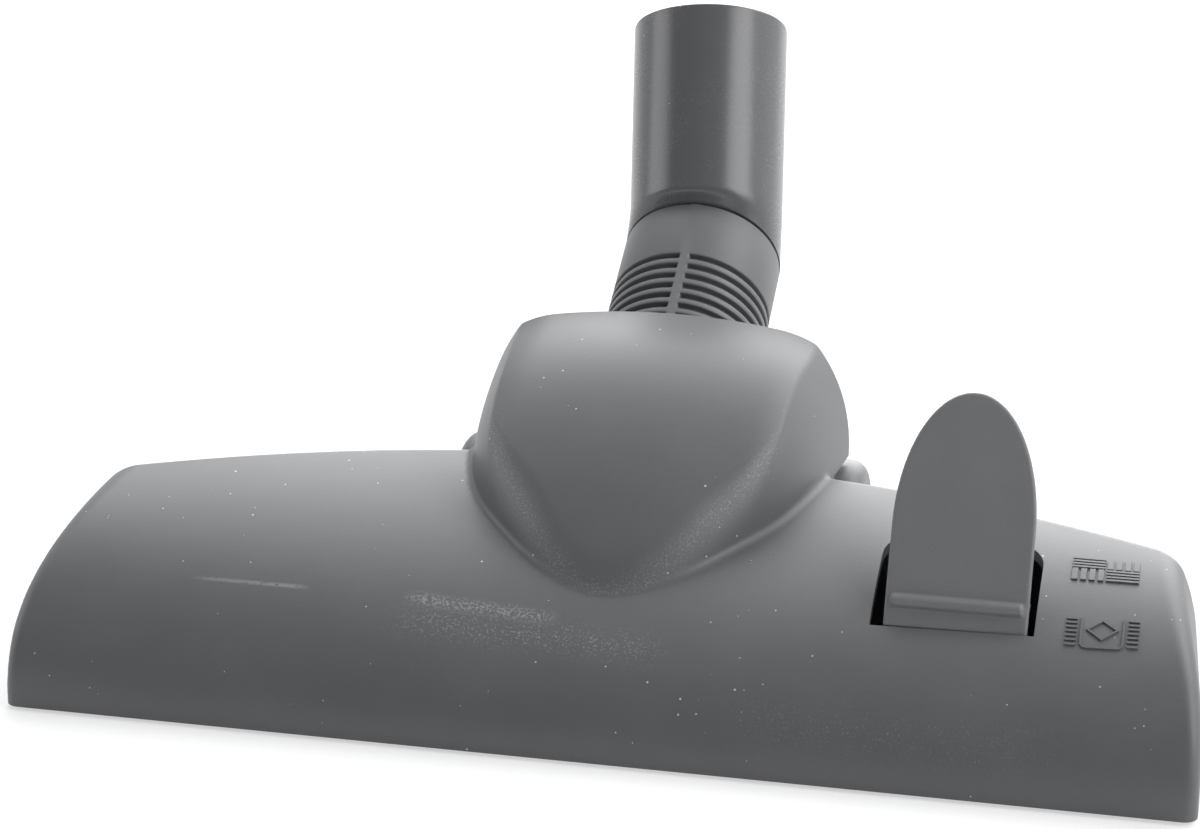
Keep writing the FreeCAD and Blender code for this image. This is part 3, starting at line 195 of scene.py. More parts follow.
def skin_object(name, distance, level, low, high, step):
    """Closed skin where the distance has one value: a point in each grid cell it crosses, moved onto it."""
    axes = [np.arange(a, b + step, step) for a, b in zip(low, high)]
    grid = np.stack(np.meshgrid(*axes, indexing="ij"), -1)
    value = distance(grid) - level
    inside = value < 0
    shape = tuple(n - 1 for n in inside.shape)
    corners = np.array([(i, j, k) for i in (0, 1) for j in (0, 1) for k in (0, 1)])
    count = sum(inside[i:i + shape[0], j:j + shape[1], k:k + shape[2]].astype(np.int8) for i, j, k in corners)
    cells = np.argwhere((count > 0) & (count < 8))
    total = np.zeros((len(cells), 3))
    hits = np.zeros((len(cells), 1))
    for a in corners:
        for d in np.flatnonzero(a == 0):
            b = a + (np.arange(3) == d)
            va = value[tuple((cells + a).T)][:, None]
            vb = value[tuple((cells + b).T)][:, None]
            crossed = (va < 0) != (vb < 0)
            share = np.where(crossed, va / np.where(crossed, va - vb, 1), 0)
            total += np.where(crossed, a + share * (b - a), 0)
            hits += crossed
    points = np.array(low) + (cells + total / hits) * step
    number = np.full(shape, -1)
    number[tuple(cells.T)] = np.arange(len(cells))
    faces = []
    for d in range(3):
        e, f = (d + 1) % 3, (d + 2) % 3
        near = np.moveaxis(inside, (d, e, f), (0, 1, 2))
        ids = np.moveaxis(number, (d, e, f), (0, 1, 2))
        start, stop = near[:-1, 1:-1, 1:-1], near[1:, 1:-1, 1:-1]
        for forward in (True, False):
            at = np.argwhere(start & ~stop if forward else ~start & stop)
            i, j, k = at.T
            ring = [ids[i, j, k], ids[i, j + 1, k], ids[i, j + 1, k + 1], ids[i, j, k + 1]]
            faces.append(np.stack(ring if forward else ring[::-1], 1))
    nudge = step * 0.05
    for repeat in range(4):
        here = distance(points) - level
        slope = np.stack([(distance(points + nudge * axis) - level - here) / nudge for axis in np.eye(3)], 1)
        move = here[:, None] * slope / np.maximum((slope ** 2).sum(1, keepdims=True), 0.25)
        points -= np.clip(move, -step / 2, step / 2)
    return mesh_object(name, points, np.concatenate(faces))


def rings_solid(name, rings):
    """Closed solid through a row of rings of points, flat at its two ends."""
    count, last = len(rings[0]), len(rings) - 1
    faces = [[k * count + n, k * count + after, (k + 1) * count + after, (k + 1) * count + n]
             for k in range(last) for n, after in enumerate([*range(1, count), 0])]
    faces += [list(range(count))[::-1], list(range(last * count, (last + 1) * count))]
    return solid_object(name, sum(rings, []), faces)


def outline_solid(name, outline, direction):
    """Closed solid swept straight from a flat outline of points along a vector."""
    ring = [Vector(p) for p in outline]
    return rings_solid(name, [ring, [p + Vector(direction) for p in ring]])


def box_solid(name, low, high):
    plan = [(low[0], low[1]), (high[0], low[1]), (high[0], high[1]), (low[0], high[1])]
    return outline_solid(name, [(x, y, low[2]) for x, y in plan], (0, 0, high[2] - low[2]))


def settle(piece):
    """Turns what a piece's modifier makes into its plain mesh."""
    done = bpy.data.meshes.new_from_object(piece.evaluated_get(bpy.context.evaluated_depsgraph_get()))
    piece.modifiers.clear()
    piece.data = done


def combine(piece, operation, *others):
    """Cuts other closed solids out of a piece, or joins them on, and uses them up."""
    for other in others:
        step = piece.modifiers.new("combine", "BOOLEAN")
        step.operation, step.object, step.solver = operation, other, "MANIFOLD"
        settle(piece)
        bpy.data.objects.remove(other)


def round_turn(count):
    """Angles spread evenly over a full turn."""
    return np.linspace(0, 2 * math.pi, count, endpoint=False)


WELL_HALF = 0.0437
ARCH_HALF = 0.0600
ARCH_CENTRE_Y = 0.0595
ARCH_RADIUS = 0.0202
REAR_OPENING_Y = 0.033
SKIRT_Z = 0.0394
HEAD_REAR_Y = 0.0480
RIM_FOOT_Y = 0.0615
RIM_BULGE = (0.0670, 0.0570)
RIM_TOP = (0.0642, 0.0736)
STOP_ANGLE = math.radians(28.7)
STOP_PIVOT_Y = 0.047
STOP_PIVOT_Z = 0.03685
NECK_ROOM_FROM = 0.020
NECK_ROOM_RADIUS = 0.0208
PEDAL_X = 0.0801
SLOT_HALF = 0.0184
SLOT_FRONT_Y = -0.0144
SLOT_REAR_Y = 0.0170
SLOT_CORNER = 0.0092
SLOT_FROM_Z = 0.018
FAR = 0.2
BOSS_PLACES = [(0.124, -0.004), (0.060, 0.026), (-0.124, -0.004), (-0.060, 0.026)]
BOSS_RADIUS = 0.0036
BOSS_FOOT_Z = 0.0031
PILOT_RADIUS = 0.0016
PILOT_TOP_Z = 0.0138
COVER_GREY = (0.128, 0.130, 0.134, 1)


def rim_outline():
    """Side view of the cut behind the bonnet: an arc from the skirt over the bulge to the roof's end."""
    (y0, z0), (y1, z1), (y2, z2) = (RIM_FOOT_Y, SKIRT_Z), RIM_BULGE, RIM_TOP
    matrix = np.array([[2 * y0, 2 * z0, 1], [2 * y1, 2 * z1, 1], [2 * y2, 2 * z2, 1]])
    cy, cz, c = np.linalg.solve(matrix, [y0 ** 2 + z0 ** 2, y1 ** 2 + z1 ** 2, y2 ** 2 + z2 ** 2])
    radius = math.sqrt(c + cy ** 2 + cz ** 2)
    angles = np.linspace(math.atan2(z0 - cz, y0 - cy), math.atan2(z2 - cz, y2 - cy) + 0.15, 40)
    arc = [(-FAR, cy + radius * math.cos(a), cz + radius * math.sin(a)) for a in angles]
    return arc + [(-FAR, FAR, arc[-1][2]), (-FAR, FAR, SKIRT_Z)]


def arch_outline():
    """Side view of the arch over the wheels, open below and behind."""
    foot_z = SKIRT_Z - ARCH_RADIUS
    arc = [(-ARCH_HALF, ARCH_CENTRE_Y - ARCH_RADIUS * math.cos(a), foot_z + ARCH_RADIUS * math.sin(a))
           for a in np.linspace(0, math.pi / 2, 25)]
    return ([(-ARCH_HALF, ARCH_CENTRE_Y - ARCH_RADIUS, -FAR)] + arc
            + [(-ARCH_HALF, FAR, SKIRT_Z), (-ARCH_HALF, FAR, -FAR)])


def neck_room():
    """Rod that the neck fills at its forward stop, with a little room around it."""
    way = Vector((0, math.cos(STOP_ANGLE), math.sin(STOP_ANGLE)))
    up = Vector((0, -way.z, way.y))
    foot = Vector((0, STOP_PIVOT_Y, STOP_PIVOT_Z)) + way * NECK_ROOM_FROM
    rim = [foot + Vector((NECK_ROOM_RADIUS * math.cos(a), 0, 0)) + up * NECK_ROOM_RADIUS * math.sin(a)
           for a in round_turn(96)]
    return outline_solid("neck_room", rim, way * FAR)


def slot_outline():
    """Plan of the pedal's opening: square at the front, rounded at its rear corners."""
    corner = np.linspace(0, math.pi / 2, 9)
    right, rear = PEDAL_X + SLOT_HALF - SLOT_CORNER, SLOT_REAR_Y - SLOT_CORNER
    left = PEDAL_X - SLOT_HALF + SLOT_CORNER
    plan = [(PEDAL_X - SLOT_HALF, SLOT_FRONT_Y), (PEDAL_X + SLOT_HALF, SLOT_FRONT_Y)]
    plan += [(right + SLOT_CORNER * math.cos(a), rear + SLOT_CORNER * math.sin(a)) for a in corner]
    plan += [(left - SLOT_CORNER * math.sin(a), rear + SLOT_CORNER * math.cos(a)) for a in corner]
    return [(x, y, SLOT_FROM_Z) for x, y in plan]


def cover_height(x, y, level=0.0):
    """Height of the cover's form, or of that form set in by a level, over each point of the plan."""
    low, high = np.full(np.shape(x), BONNET_BASE_Z / 2), np.full(np.shape(x), cover_high.z + 0.002)
    for halving in range(30):
        middle = (low + high) / 2
        outside = cover_distance(np.stack([x, y, middle], -1)) > level
        high, low = np.where(outside, middle, high), np.where(outside, low, middle)
    return (low + high) / 2


def boss_solid(x, y):
    """Screw boss from its foot up into the middle of the cover's wall."""
    turns = round_turn(32)
    count = len(turns)
    rim_x = np.append(x + BOSS_RADIUS * np.cos(turns), x)
    rim_y = np.append(y + BOSS_RADIUS * np.sin(turns), y)
    tops = cover_height(rim_x, rim_y, -COVER_WALL / 2)
    points = list(zip(rim_x, rim_y, np.full(count + 1, BOSS_FOOT_Z))) + list(zip(rim_x, rim_y, tops))
    faces = []
    for n in range(count):
        after = (n + 1) % count
        top, top_after = count + 1 + n, count + 1 + after
        faces += [[n, after, top_after, top], [after, n, count], [top, top_after, 2 * count + 1]]
    return solid_object("cover_boss", points, faces)


def disc_outline(x, y, radius, z, count=24):
    return [(x + radius * math.cos(a), y + radius * math.sin(a), z) for a in round_turn(count)]


def slope_at(distance, points, nudge=0.00005):
    """Unit direction in which the distance grows fastest."""
    here = distance(points)
    slope = np.stack([distance(points + nudge * axis) - here for axis in np.eye(3)], 1)
    return slope / np.maximum(np.linalg.norm(slope, axis=1, keepdims=True), 1e-9)


def read(items, name, width):
    values = np.zeros(len(items) * width, np.float64 if width > 1 else np.int64)
    items.foreach_get(name, values)
    return values.reshape(-1, width) if width > 1 else values


def shade_smooth(piece, sharp_degrees=35):
    piece.data.shade_smooth()
    piece.data.set_sharp_from_angle(angle=math.radians(sharp_degrees))


def shade_by_form(piece, distance, reach=0.0002, agree=0.8):
    """Shades the faces that lie on a form by the form's own slope, so that cuts leave no ripples in them."""
    shade_smooth(piece)
    mesh = piece.data
    points = read(mesh.vertices, "co", 3)
    slopes = slope_at(distance, points)
    on_form = np.abs(distance(points)) < reach
    at = read(mesh.loops, "vertex_index", 1)
    corner = read(mesh.corner_normals, "vector", 3)
    face_of = np.repeat(np.arange(len(mesh.polygons)), read(mesh.polygons, "loop_total", 1))
    flat = read(mesh.polygons, "normal", 3)[face_of]
    follows = on_form[at] & ((slopes[at] * flat).sum(1) > agree)
    mesh.normals_split_custom_set(np.where(follows[:, None], slopes[at], corner))


def wire(inputs, given):
    """Sets a node's inputs, by name or number, each to a value or from another node's output."""
    for key, value in given.items():
        if isinstance(value, bpy.types.NodeSocket):
            value.id_data.links.new(value, inputs[key])
        else:
            inputs[key].default_value = value


def add_node(tree, kind, given=None, **settings):
    made = tree.nodes.new(kind)
    for name, value in settings.items():
        setattr(made, name, value)
    wire(made.inputs, given or {})
    return made


def put(tree, kind, given=None, **settings):
    """First output of a new node."""
    return add_node(tree, kind, given, **settings).outputs[0]


def maths(operation, a, b, clamp=False):
    """Math node in the tree of the output that it takes."""
    tree = (a if isinstance(a, bpy.types.NodeSocket) else b).id_data
    return put(tree, "ShaderNodeMath", {0: a, 1: b}, operation=operation, use_clamp=clamp)


def plus(a, b, clamp=False):
    return maths("ADD", a, b, clamp)


def minus(a, b, clamp=False):
    return maths("SUBTRACT", a, b, clamp)


def times(a, b, clamp=False):
    return maths("MULTIPLY", a, b, clamp)


def over(a, b):
    return maths("DIVIDE", a, b)


def vectors(operation, a, b, output=0):
    return add_node(a.id_data, "ShaderNodeVectorMath", {0: a, 1: b}, operation=operation).outputs[output]


def noise(place, scale, detail):
    return put(place.id_data, "ShaderNodeTexNoise", {"Vector": place, "Scale": scale, "Detail": detail})


def node_group(name, kind, inputs, outputs):
    """Empty node group with named inputs and outputs; an input has a number or, without one, a kind."""
    tree = bpy.data.node_groups.new(name, kind)
    for title, value in inputs.items():
        form = {float: "Float", int: "Int"}.get(type(value), value)
        socket = tree.interface.new_socket(title, in_out="INPUT", socket_type="NodeSocket" + form)
        if form != value:
            socket.default_value = value
    for title, form in outputs.items():
        tree.interface.new_socket(title, in_out="OUTPUT", socket_type="NodeSocket" + form)
    return tree, add_node(tree, "NodeGroupInput").outputs, add_node(tree, "NodeGroupOutput").inputs


def grain_group():
    """Spark-eroded mould texture: its height, and a broad mottle in tone."""
    tree, given, out = node_group("mould_grain", "ShaderNodeTree", {"Vector": "Vector", "Size": 0.0004},
                                  {"Height": "Float", "Mottle": "Float"})
    place, scale = given["Vector"], over(1.0, given["Size"])
    pits = put(tree, "ShaderNodeTexVoronoi", {"Vector": place, "Scale": scale}, feature="SMOOTH_F1")
    wire(out, {"Height": plus(times(noise(place, scale, 3.0), 0.6), times(pits, 0.4)),
               "Mottle": plus(times(noise(place, 55.0, 6.0), 0.55), times(noise(place, 2600.0, 1.0), 0.45))})
    return tree


def speck_group():
    """Loose pale dust: small spots, one in some cells of a random pattern, in drifts."""
    tree, given, out = node_group("dust_specks", "ShaderNodeTree", {
        "Vector": "Vector", "Spacing": 0.002, "Share": 0.1, "Radius": 0.00019}, {"Mask": "Float"})
    place, spacing = given["Vector"], given["Spacing"]
    cells = add_node(tree, "ShaderNodeTexVoronoi", {"Vector": place, "Scale": over(1.0, spacing)}).outputs
    chance = add_node(tree, "ShaderNodeSeparateColor", {0: cells["Color"]}).outputs
    drift = times(minus(noise(place, 28.0, 2.0), 0.35), 5.0, clamp=True)
    chosen = maths("LESS_THAN", chance[0], times(given["Share"], drift))
    size = times(plus(chance[1], 0.35), given["Radius"])
    inside = maths("LESS_THAN", times(cells["Distance"], spacing), size)
    wire(out, {"Mask": times(chosen, inside)})
    return tree


def scuff_group():
    """Rubbed streak between two points: patchy, and fading to its sides and ends."""
    tree, given, out = node_group("rubbed_streak", "ShaderNodeTree", {
        "Vector": "Vector", "Start": "Vector", "End": "Vector", "Width": 0.002, "Cover": 0.5, "Patch": 0.001},
        {"Mask": "Float"})
    along = vectors("SUBTRACT", given["End"], given["Start"])
    here = vectors("SUBTRACT", given["Vector"], given["Start"])
    share = over(vectors("DOT_PRODUCT", here, along, "Value"), vectors("DOT_PRODUCT", along, along, "Value"))
    foot = put(tree, "ShaderNodeVectorMath", {0: along, "Scale": share}, operation="SCALE")
    side = minus(1.0, over(vectors("DISTANCE", here, foot, "Value"), given["Width"]), clamp=True)
    ends = times(times(share, minus(1.0, share)), 8.0, clamp=True)
    flecks = noise(given["Vector"], over(1.0, given["Patch"]), 5.0)
    patch = times(minus(flecks, minus(1.0, given["Cover"])), 8.0, clamp=True)
    wire(out, {"Mask": times(times(side, ends), patch)})
    return tree


MOULD_GRAIN = grain_group()
DUST_SPECKS = speck_group()
RUBBED_STREAK = scuff_group()
DUST_GREY = (0.62, 0.63, 0.64, 1)
# Lighter grey of the rubbed streaks, also used as painted sheen on the bonnet's creases.
RUB_AND_SHEEN_GREY = (0.30, 0.31, 0.32, 1)


def mixed(share, a, b):
    return add_node(share.id_data, "ShaderNodeMix", {0: share, 6: a, 7: b}, data_type="RGBA").outputs[2]


def bump(height, distance, strength):
    given = {"Height": height, "Distance": distance, "Strength": strength}
    return put(height.id_data, "ShaderNodeBump", given)


def shaded(grey, factor):
    return tuple(c * factor for c in grey[:3]) + (1,)


def empty_tree(owner):
    """Node tree of a new material or world, with nothing in it."""
    owner.use_nodes = True
    owner.node_tree.nodes.clear()
    return owner.node_tree


def new_material(name):
    """Material with a Principled shader, the place on the piece that it reads, and the shader's inputs."""
    material = bpy.data.materials.new(name)
    tree = empty_tree(material)
    shader = add_node(tree, "ShaderNodeBsdfPrincipled")
    add_node(tree, "ShaderNodeOutputMaterial", {0: shader.outputs[0]})
    return material, add_node(tree, "ShaderNodeTexCoord").outputs["Object"], shader.inputs


def moulded_plastic(name, grey, roughness, depth=0.00006, dust=0.05, streaks=(), wear_and_sheen=None):
    """Moulded grey plastic with a fine matte grain, loose dust, rubbed streaks, and worn edges that are
    partly rubbed and partly painted sheen with flecks of painted glint.
    """
    material, place, shader = new_material(name)
    tree = place.id_data
    texture = add_node(tree, "ShaderNodeGroup", {"Vector": place}, node_tree=MOULD_GRAIN).outputs
    colour = mixed(texture["Mottle"], shaded(grey, 0.84), shaded(grey, 1.16))
    masks = []
    for streak in streaks:
        given = dict(zip(("Start", "End", "Width", "Cover", "Patch"), streak), Vector=place)
        masks.append(put(tree, "ShaderNodeGroup", given, node_tree=RUBBED_STREAK))
    # Worn edges: partly rubbed wear, partly painted sheen, with noise flecks as painted glints.
    if wear_and_sheen:
        worn_and_sheen = add_node(tree, "ShaderNodeAttribute", attribute_name=wear_and_sheen).outputs["Fac"]
        glint = times(minus(noise(place, 2200.0, 2.0), 0.52), 6.0, clamp=True)
        masks.append(times(worn_and_sheen, plus(times(glint, 0.75), 0.12)))
    if masks:
        rubbed_and_sheen = masks[0]
        for mask in masks[1:]:
            rubbed_and_sheen = maths("MAXIMUM", rubbed_and_sheen, mask)
        colour = mixed(rubbed_and_sheen, colour, RUB_AND_SHEEN_GREY)
    specks = put(tree, "ShaderNodeGroup", {"Vector": place, "Share": dust}, node_tree=DUST_SPECKS)
    wire(shader, {"Base Color": mixed(specks, colour, DUST_GREY),
                  "Roughness": plus(times(minus(texture["Mottle"], 0.5), 0.16), roughness),
                  "Normal": bump(texture["Height"], depth, 0.6)})
    return material


def fit(piece, material, body, slot, *nodes):
    """Gives a finished piece its material and its body, and hides the construction nodes that it stands for.
    """
    piece.data.materials.clear()
    piece.data.materials.append(material)
    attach(piece, body)
    if nodes:
        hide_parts(*nodes)


def crease_rub_and_sheen(points):
    """How strongly the cover is painted lighter at each point, along the bonnet's soft creases and its lower
    edge: partly rubbed wear, partly painted sheen where the rounded crease catches light.
    """
    x, y, z = np.abs(points[:, 0]), points[:, 1], points[:, 2]
    slopes = slope_at(cover_distance, points)
    side, roof = side_and_roof(x, y, z)
    near = np.exp(-((side - roof) / 0.0025) ** 2) * (np.abs(bonnet_distance(x, y, z)) < 0.001)
    low_half = np.clip((0.032 - y) / 0.02, 0, 0.7)
    return np.where(slopes[:, 2] > -0.5, near * low_half, 0)


cover_space = ((-COVER_HALF - SKIN_MARGIN, COVER_FRONT_Y - SKIN_MARGIN, TRIM_LOW_Z - SKIN_MARGIN),
               (COVER_HALF + SKIN_MARGIN, TRIM_REAR_Y + SKIN_MARGIN, cover_high.z + SKIN_MARGIN))
cover = skin_object("cover_shell", cover_distance, 0.0, *cover_space, SKIN_STEP)
combine(cover, "DIFFERENCE",
        skin_object("cover_lining", cover_distance, -COVER_WALL, *cover_space, LINING_STEP),
        box_solid("foot_cut", (-FAR, -FAR, -FAR), (FAR, FAR, COVER_FOOT_Z)),
        box_solid("well_cut", (-WELL_HALF, REAR_OPENING_Y, -FAR), (WELL_HALF, FAR, SKIRT_Z)),
        outline_solid("arch_cut", arch_outline(), (2 * ARCH_HALF, 0, 0)),
        box_solid("rear_cut", (-FAR, HEAD_REAR_Y, -FAR), (FAR, FAR, SKIRT_Z)),
        outline_solid("rim_cut", rim_outline(), (2 * FAR, 0, 0)),
        neck_room(),
        outline_solid("slot_cut", slot_outline(), (0, 0, FAR)))
for boss_x, boss_y in BOSS_PLACES:
    combine(cover, "UNION", boss_solid(boss_x, boss_y))
    pilot = disc_outline(boss_x, boss_y, PILOT_RADIUS, 0.0)
    combine(cover, "DIFFERENCE", outline_solid("pilot_cut", pilot, (0, 0, PILOT_TOP_Z)))
shade_by_form(cover, cover_distance)
# Painted sheen and rubbed wear along the bonnet's creases, stored on the cover's points.
worn_and_sheen = cover.data.attributes.new("rubbed_and_sheen", "FLOAT", "POINT")
worn_and_sheen.data.foreach_set("value", crease_rub_and_sheen(read(cover.data.vertices, "co", 3)).astype(np.float32))
FRONT_SCUFFS = [
    ((-0.0967, -0.018, 0.0285), (-0.0679, -0.0176, 0.0285), 0.0008, 0.66, 0.0009),
    ((-0.0465, -0.0175, 0.0285), (-0.0082, -0.0195, 0.0273), 0.0026, 0.54, 0.0006),
    ((-0.050, -0.022, 0.0245), (0.020, -0.0235, 0.0225), 0.0060, 0.46, 0.0005),
    ((0.030, -0.033, 0.0130), (0.110, -0.033, 0.0120), 0.0080, 0.40, 0.0004),
]
COVER_PLASTIC = moulded_plastic("cover_plastic", COVER_GREY, 0.46, dust=0.16,
                                streaks=FRONT_SCUFFS, wear_and_sheen="rubbed_and_sheen")
fit(cover, COVER_PLASTIC, "head", "cover_plastic", "upper_cover")

# Floor signs.
# Two raised marks on the cover beside the pedal: laid wood for hard floors, and a fringed rug for carpets.
# They are moulded with the cover, so each bar follows the cover's curve.
SIGN_RISE = 0.00045
SIGN_SINK = 0.0004
SIGN_DRAFT = 0.00008
WOOD_LEFT, WOOD_MIDDLE, WOOD_RIGHT = 0.1048, 0.1126, 0.1204
WOOD_REAR, WOOD_CENTRE, WOOD_FRONT = 0.0124, 0.00785, 0.0033
WOOD_BARS = 4
RUG_LEFT, RUG_RIGHT = 0.1053, 0.1214
RUG_REAR, RUG_FRONT = -0.0085, -0.0164
FRINGE_LENGTH = 0.0024
FRINGE_BARS = 7
RUG_LINE = 0.0005
RUG_INSET = 0.0034
RUG_CORNER = 0.0012
DIAMOND_HALF = (0.0033, 0.0025)
DIAMOND_LIFT = 0.0006
BAR_SHARES = (0.68, 0.74)
BAR_END_GAP = 0.0002
FRINGE_SHARE = 0.55
MITRE_LIMIT = 0.4


def raised_stroke(path, width, closed=False):
    """Raised line of one width that follows a path in plan, laid on the cover."""
    line = np.array(path, float)
    before, after = np.roll(line, 1, 0), np.roll(line, -1, 0)
    if not closed:
        before[0], after[-1] = line[0] * 2 - line[1], line[-1] * 2 - line[-2]
    first, second = line - before, after - line
    first /= np.linalg.norm(first, axis=1, keepdims=True)
    second /= np.linalg.norm(second, axis=1, keepdims=True)
    side = np.stack([-(first + second)[:, 1], (first + second)[:, 0]], 1)
    side /= np.linalg.norm(side, axis=1, keepdims=True)
    square = np.stack([-second[:, 1], second[:, 0]], 1)
    side /= np.maximum((side * square).sum(1, keepdims=True), MITRE_LIMIT)
    rings = []
    for reach, rise in ((width / 2, -SIGN_SINK), (width / 2 - SIGN_DRAFT, SIGN_RISE),
                        (SIGN_DRAFT - width / 2, SIGN_RISE), (-width / 2, -SIGN_SINK)):
        plan = line + side * reach
        points = np.column_stack([plan, cover_height(plan[:, 0], plan[:, 1])])
        rings.append(points + slope_at(cover_distance, points) * rise)
    count = len(line)
    points = np.concatenate(rings)
    faces = []
    for n in range(count if closed else count - 1):
        after = (n + 1) % count
        faces += [[a * count + n, a * count + after, b * count + after, b * count + n]
                  for a, b in ((0, 1), (1, 2), (2, 3), (3, 0))]
    if not closed:
        faces += [[0, count, 2 * count, 3 * count], [k * count + count - 1 for k in (3, 2, 1, 0)]]
    return points, faces


def along(a, b, pieces=8):
    return [tuple(p) for p in np.linspace(a, b, pieces + 1)]


def wood_strokes():
    strokes = []
    for left, right, level, upright in (
            (WOOD_LEFT, WOOD_MIDDLE, (WOOD_REAR, WOOD_CENTRE), (WOOD_CENTRE, WOOD_FRONT)),
            (WOOD_MIDDLE, WOOD_RIGHT, (WOOD_CENTRE, WOOD_FRONT), (WOOD_REAR, WOOD_CENTRE))):
        for n in range(WOOD_BARS):
            share = (n + 0.5) / WOOD_BARS
            y = level[0] + (level[1] - level[0]) * share
            width = abs(level[1] - level[0]) / WOOD_BARS * BAR_SHARES[0]
            strokes.append((along((left + BAR_END_GAP, y), (right - BAR_END_GAP, y)), width, False))
            x = left + (right - left) * share
            ends = (x, upright[0] - BAR_END_GAP), (x, upright[1] + BAR_END_GAP)
            strokes.append((along(*ends), (right - left) / WOOD_BARS * BAR_SHARES[1], False))
    return strokes


def rug_strokes():
    strokes = []
    for n in range(FRINGE_BARS):
        y = RUG_REAR + (RUG_FRONT - RUG_REAR) * (n + 0.5) / FRINGE_BARS
        width = (RUG_REAR - RUG_FRONT) / FRINGE_BARS * FRINGE_SHARE
        for a, b in ((RUG_LEFT, RUG_LEFT + FRINGE_LENGTH), (RUG_RIGHT - FRINGE_LENGTH, RUG_RIGHT)):
            strokes.append((along((a, y), (b, y), 4), width, False))
    left, right, low = RUG_LEFT + RUG_INSET, RUG_RIGHT - RUG_INSET, RUG_FRONT
    turn = np.linspace(0, math.pi / 2, 6)
    path = along((left, RUG_REAR), (left, low + RUG_CORNER))
    path += [(left + RUG_CORNER * (1 - math.cos(a)), low + RUG_CORNER * (1 - math.sin(a))) for a in turn[1:]]
    path += along((left + RUG_CORNER, low), (right - RUG_CORNER, low))[1:]
    path += [(right - RUG_CORNER * (1 - math.sin(a)), low + RUG_CORNER * (1 - math.cos(a))) for a in turn[1:]]
    path += along((right, low + RUG_CORNER), (right, RUG_REAR))[1:]
    strokes.append((path, RUG_LINE, False))
    middle_x, middle_y = (RUG_LEFT + RUG_RIGHT) / 2, (RUG_REAR + RUG_FRONT) / 2 + DIAMOND_LIFT
    across, deep = DIAMOND_HALF
    corners = [(middle_x - across, middle_y), (middle_x, middle_y - deep), (middle_x + across, middle_y),
               (middle_x, middle_y + deep)]
    path = sum([along(a, b, 4)[:-1] for a, b in zip(corners, corners[1:] + corners[:1])], [])
    strokes.append((path, RUG_LINE, True))
    return strokes


sign_points, sign_faces = [], []
for path, width, closed in wood_strokes() + rug_strokes():
    points, faces = raised_stroke(path, width, closed)
    start = sum(len(p) for p in sign_points)
    sign_points.append(points)
    sign_faces += [[start + n for n in face] for face in faces]
signs = solid_object("floor_signs", np.concatenate(sign_points), sign_faces)
fit(signs, COVER_PLASTIC, "head", "cover_plastic")

# Chassis.
# The base moulding inside the cover: floor, suction channel, air duct and ears for the elbow and wheels.
# It is of the same plastic with a plainer, slightly glossier face.
CHASSIS_GREY = (0.060, 0.061, 0.063, 1)


def dress(material, *nodes):
    """Gives pieces that keep their construction shape a finish."""
    for node in nodes:
        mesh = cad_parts[node].data
        mesh.materials.clear()
        mesh.materials.append(material)


dress(moulded_plastic("chassis_plastic", CHASSIS_GREY, 0.44, depth=0.00003, dust=0.02), "chassis")

# Sole plate and lint strips.
# A thin rolled steel plate under the chassis slides on the floor; two plush strips in it catch lint.
STEEL_GREY = (0.60, 0.60, 0.59, 1)
PILE_RED = (0.45, 0.080, 0.070, 1)


def brushed_steel(name, direction, roughness=0.28):
    """Rolled steel with fine lines along one direction."""
    material, place, shader = new_material(name)
    stretch = tuple(0.02 if d else 1.0 for d in direction)
    lines = noise(put(place.id_data, "ShaderNodeMapping", {"Vector": place, "Scale": stretch}), 3000.0, 4.0)
    wire(shader, {"Base Color": mixed(lines, shaded(STEEL_GREY, 0.8), shaded(STEEL_GREY, 1.1)),
                  "Roughness": plus(times(lines, 0.2), roughness - 0.1), "Metallic": 1.0,
                  "Normal": bump(lines, 0.00001, 0.4)})
    return material


def plush(name, grey):
    """Short dense pile: noise mixes darker and paler tones, as painted shade between its fibres and paler
    tips.
    """
    material, place, shader = new_material(name)
    fibres = noise(place, 3500.0, 2.0)
    wire(shader, {"Base Color": mixed(fibres, shaded(grey, 0.5), shaded(grey, 1.5)), "Roughness": 0.95,
                  "Sheen Weight": 0.4, "Normal": bump(fibres, 0.0002, 0.8)})
    return material


dress(brushed_steel("sole_steel", (1, 0, 0)), "sole_plate")
dress(plush("lint_pile", PILE_RED), "front_lint_strip", "rear_lint_strip")

# Brush frame, bristles and springs.
# A moulded frame lifts and lowers two rows of nylon tufts; coil springs press it up into the head.
# The tufts are set in the frame in two staggered lines.
FRAME_GREY = (0.045, 0.046, 0.048, 1)
BRISTLE_GREY = (0.020, 0.020, 0.021, 1)
TUFT_PITCH = 0.0030
TUFT_LINE_GAP = 0.0020
TUFT_RADIUS = 0.0008
TUFT_BRISTLES = 12
BRISTLE_RADIUS = 0.00011
BRISTLE_SPLAY = 0.06
BRISTLE_SINK = 0.0002
TIP_HEIGHT = 0.006


def random_vector(low, high, seed):
    return put(seed.id_data, "FunctionNodeRandomValue", {"Min": low, "Max": high, "Seed": seed},
               data_type="FLOAT_VECTOR")


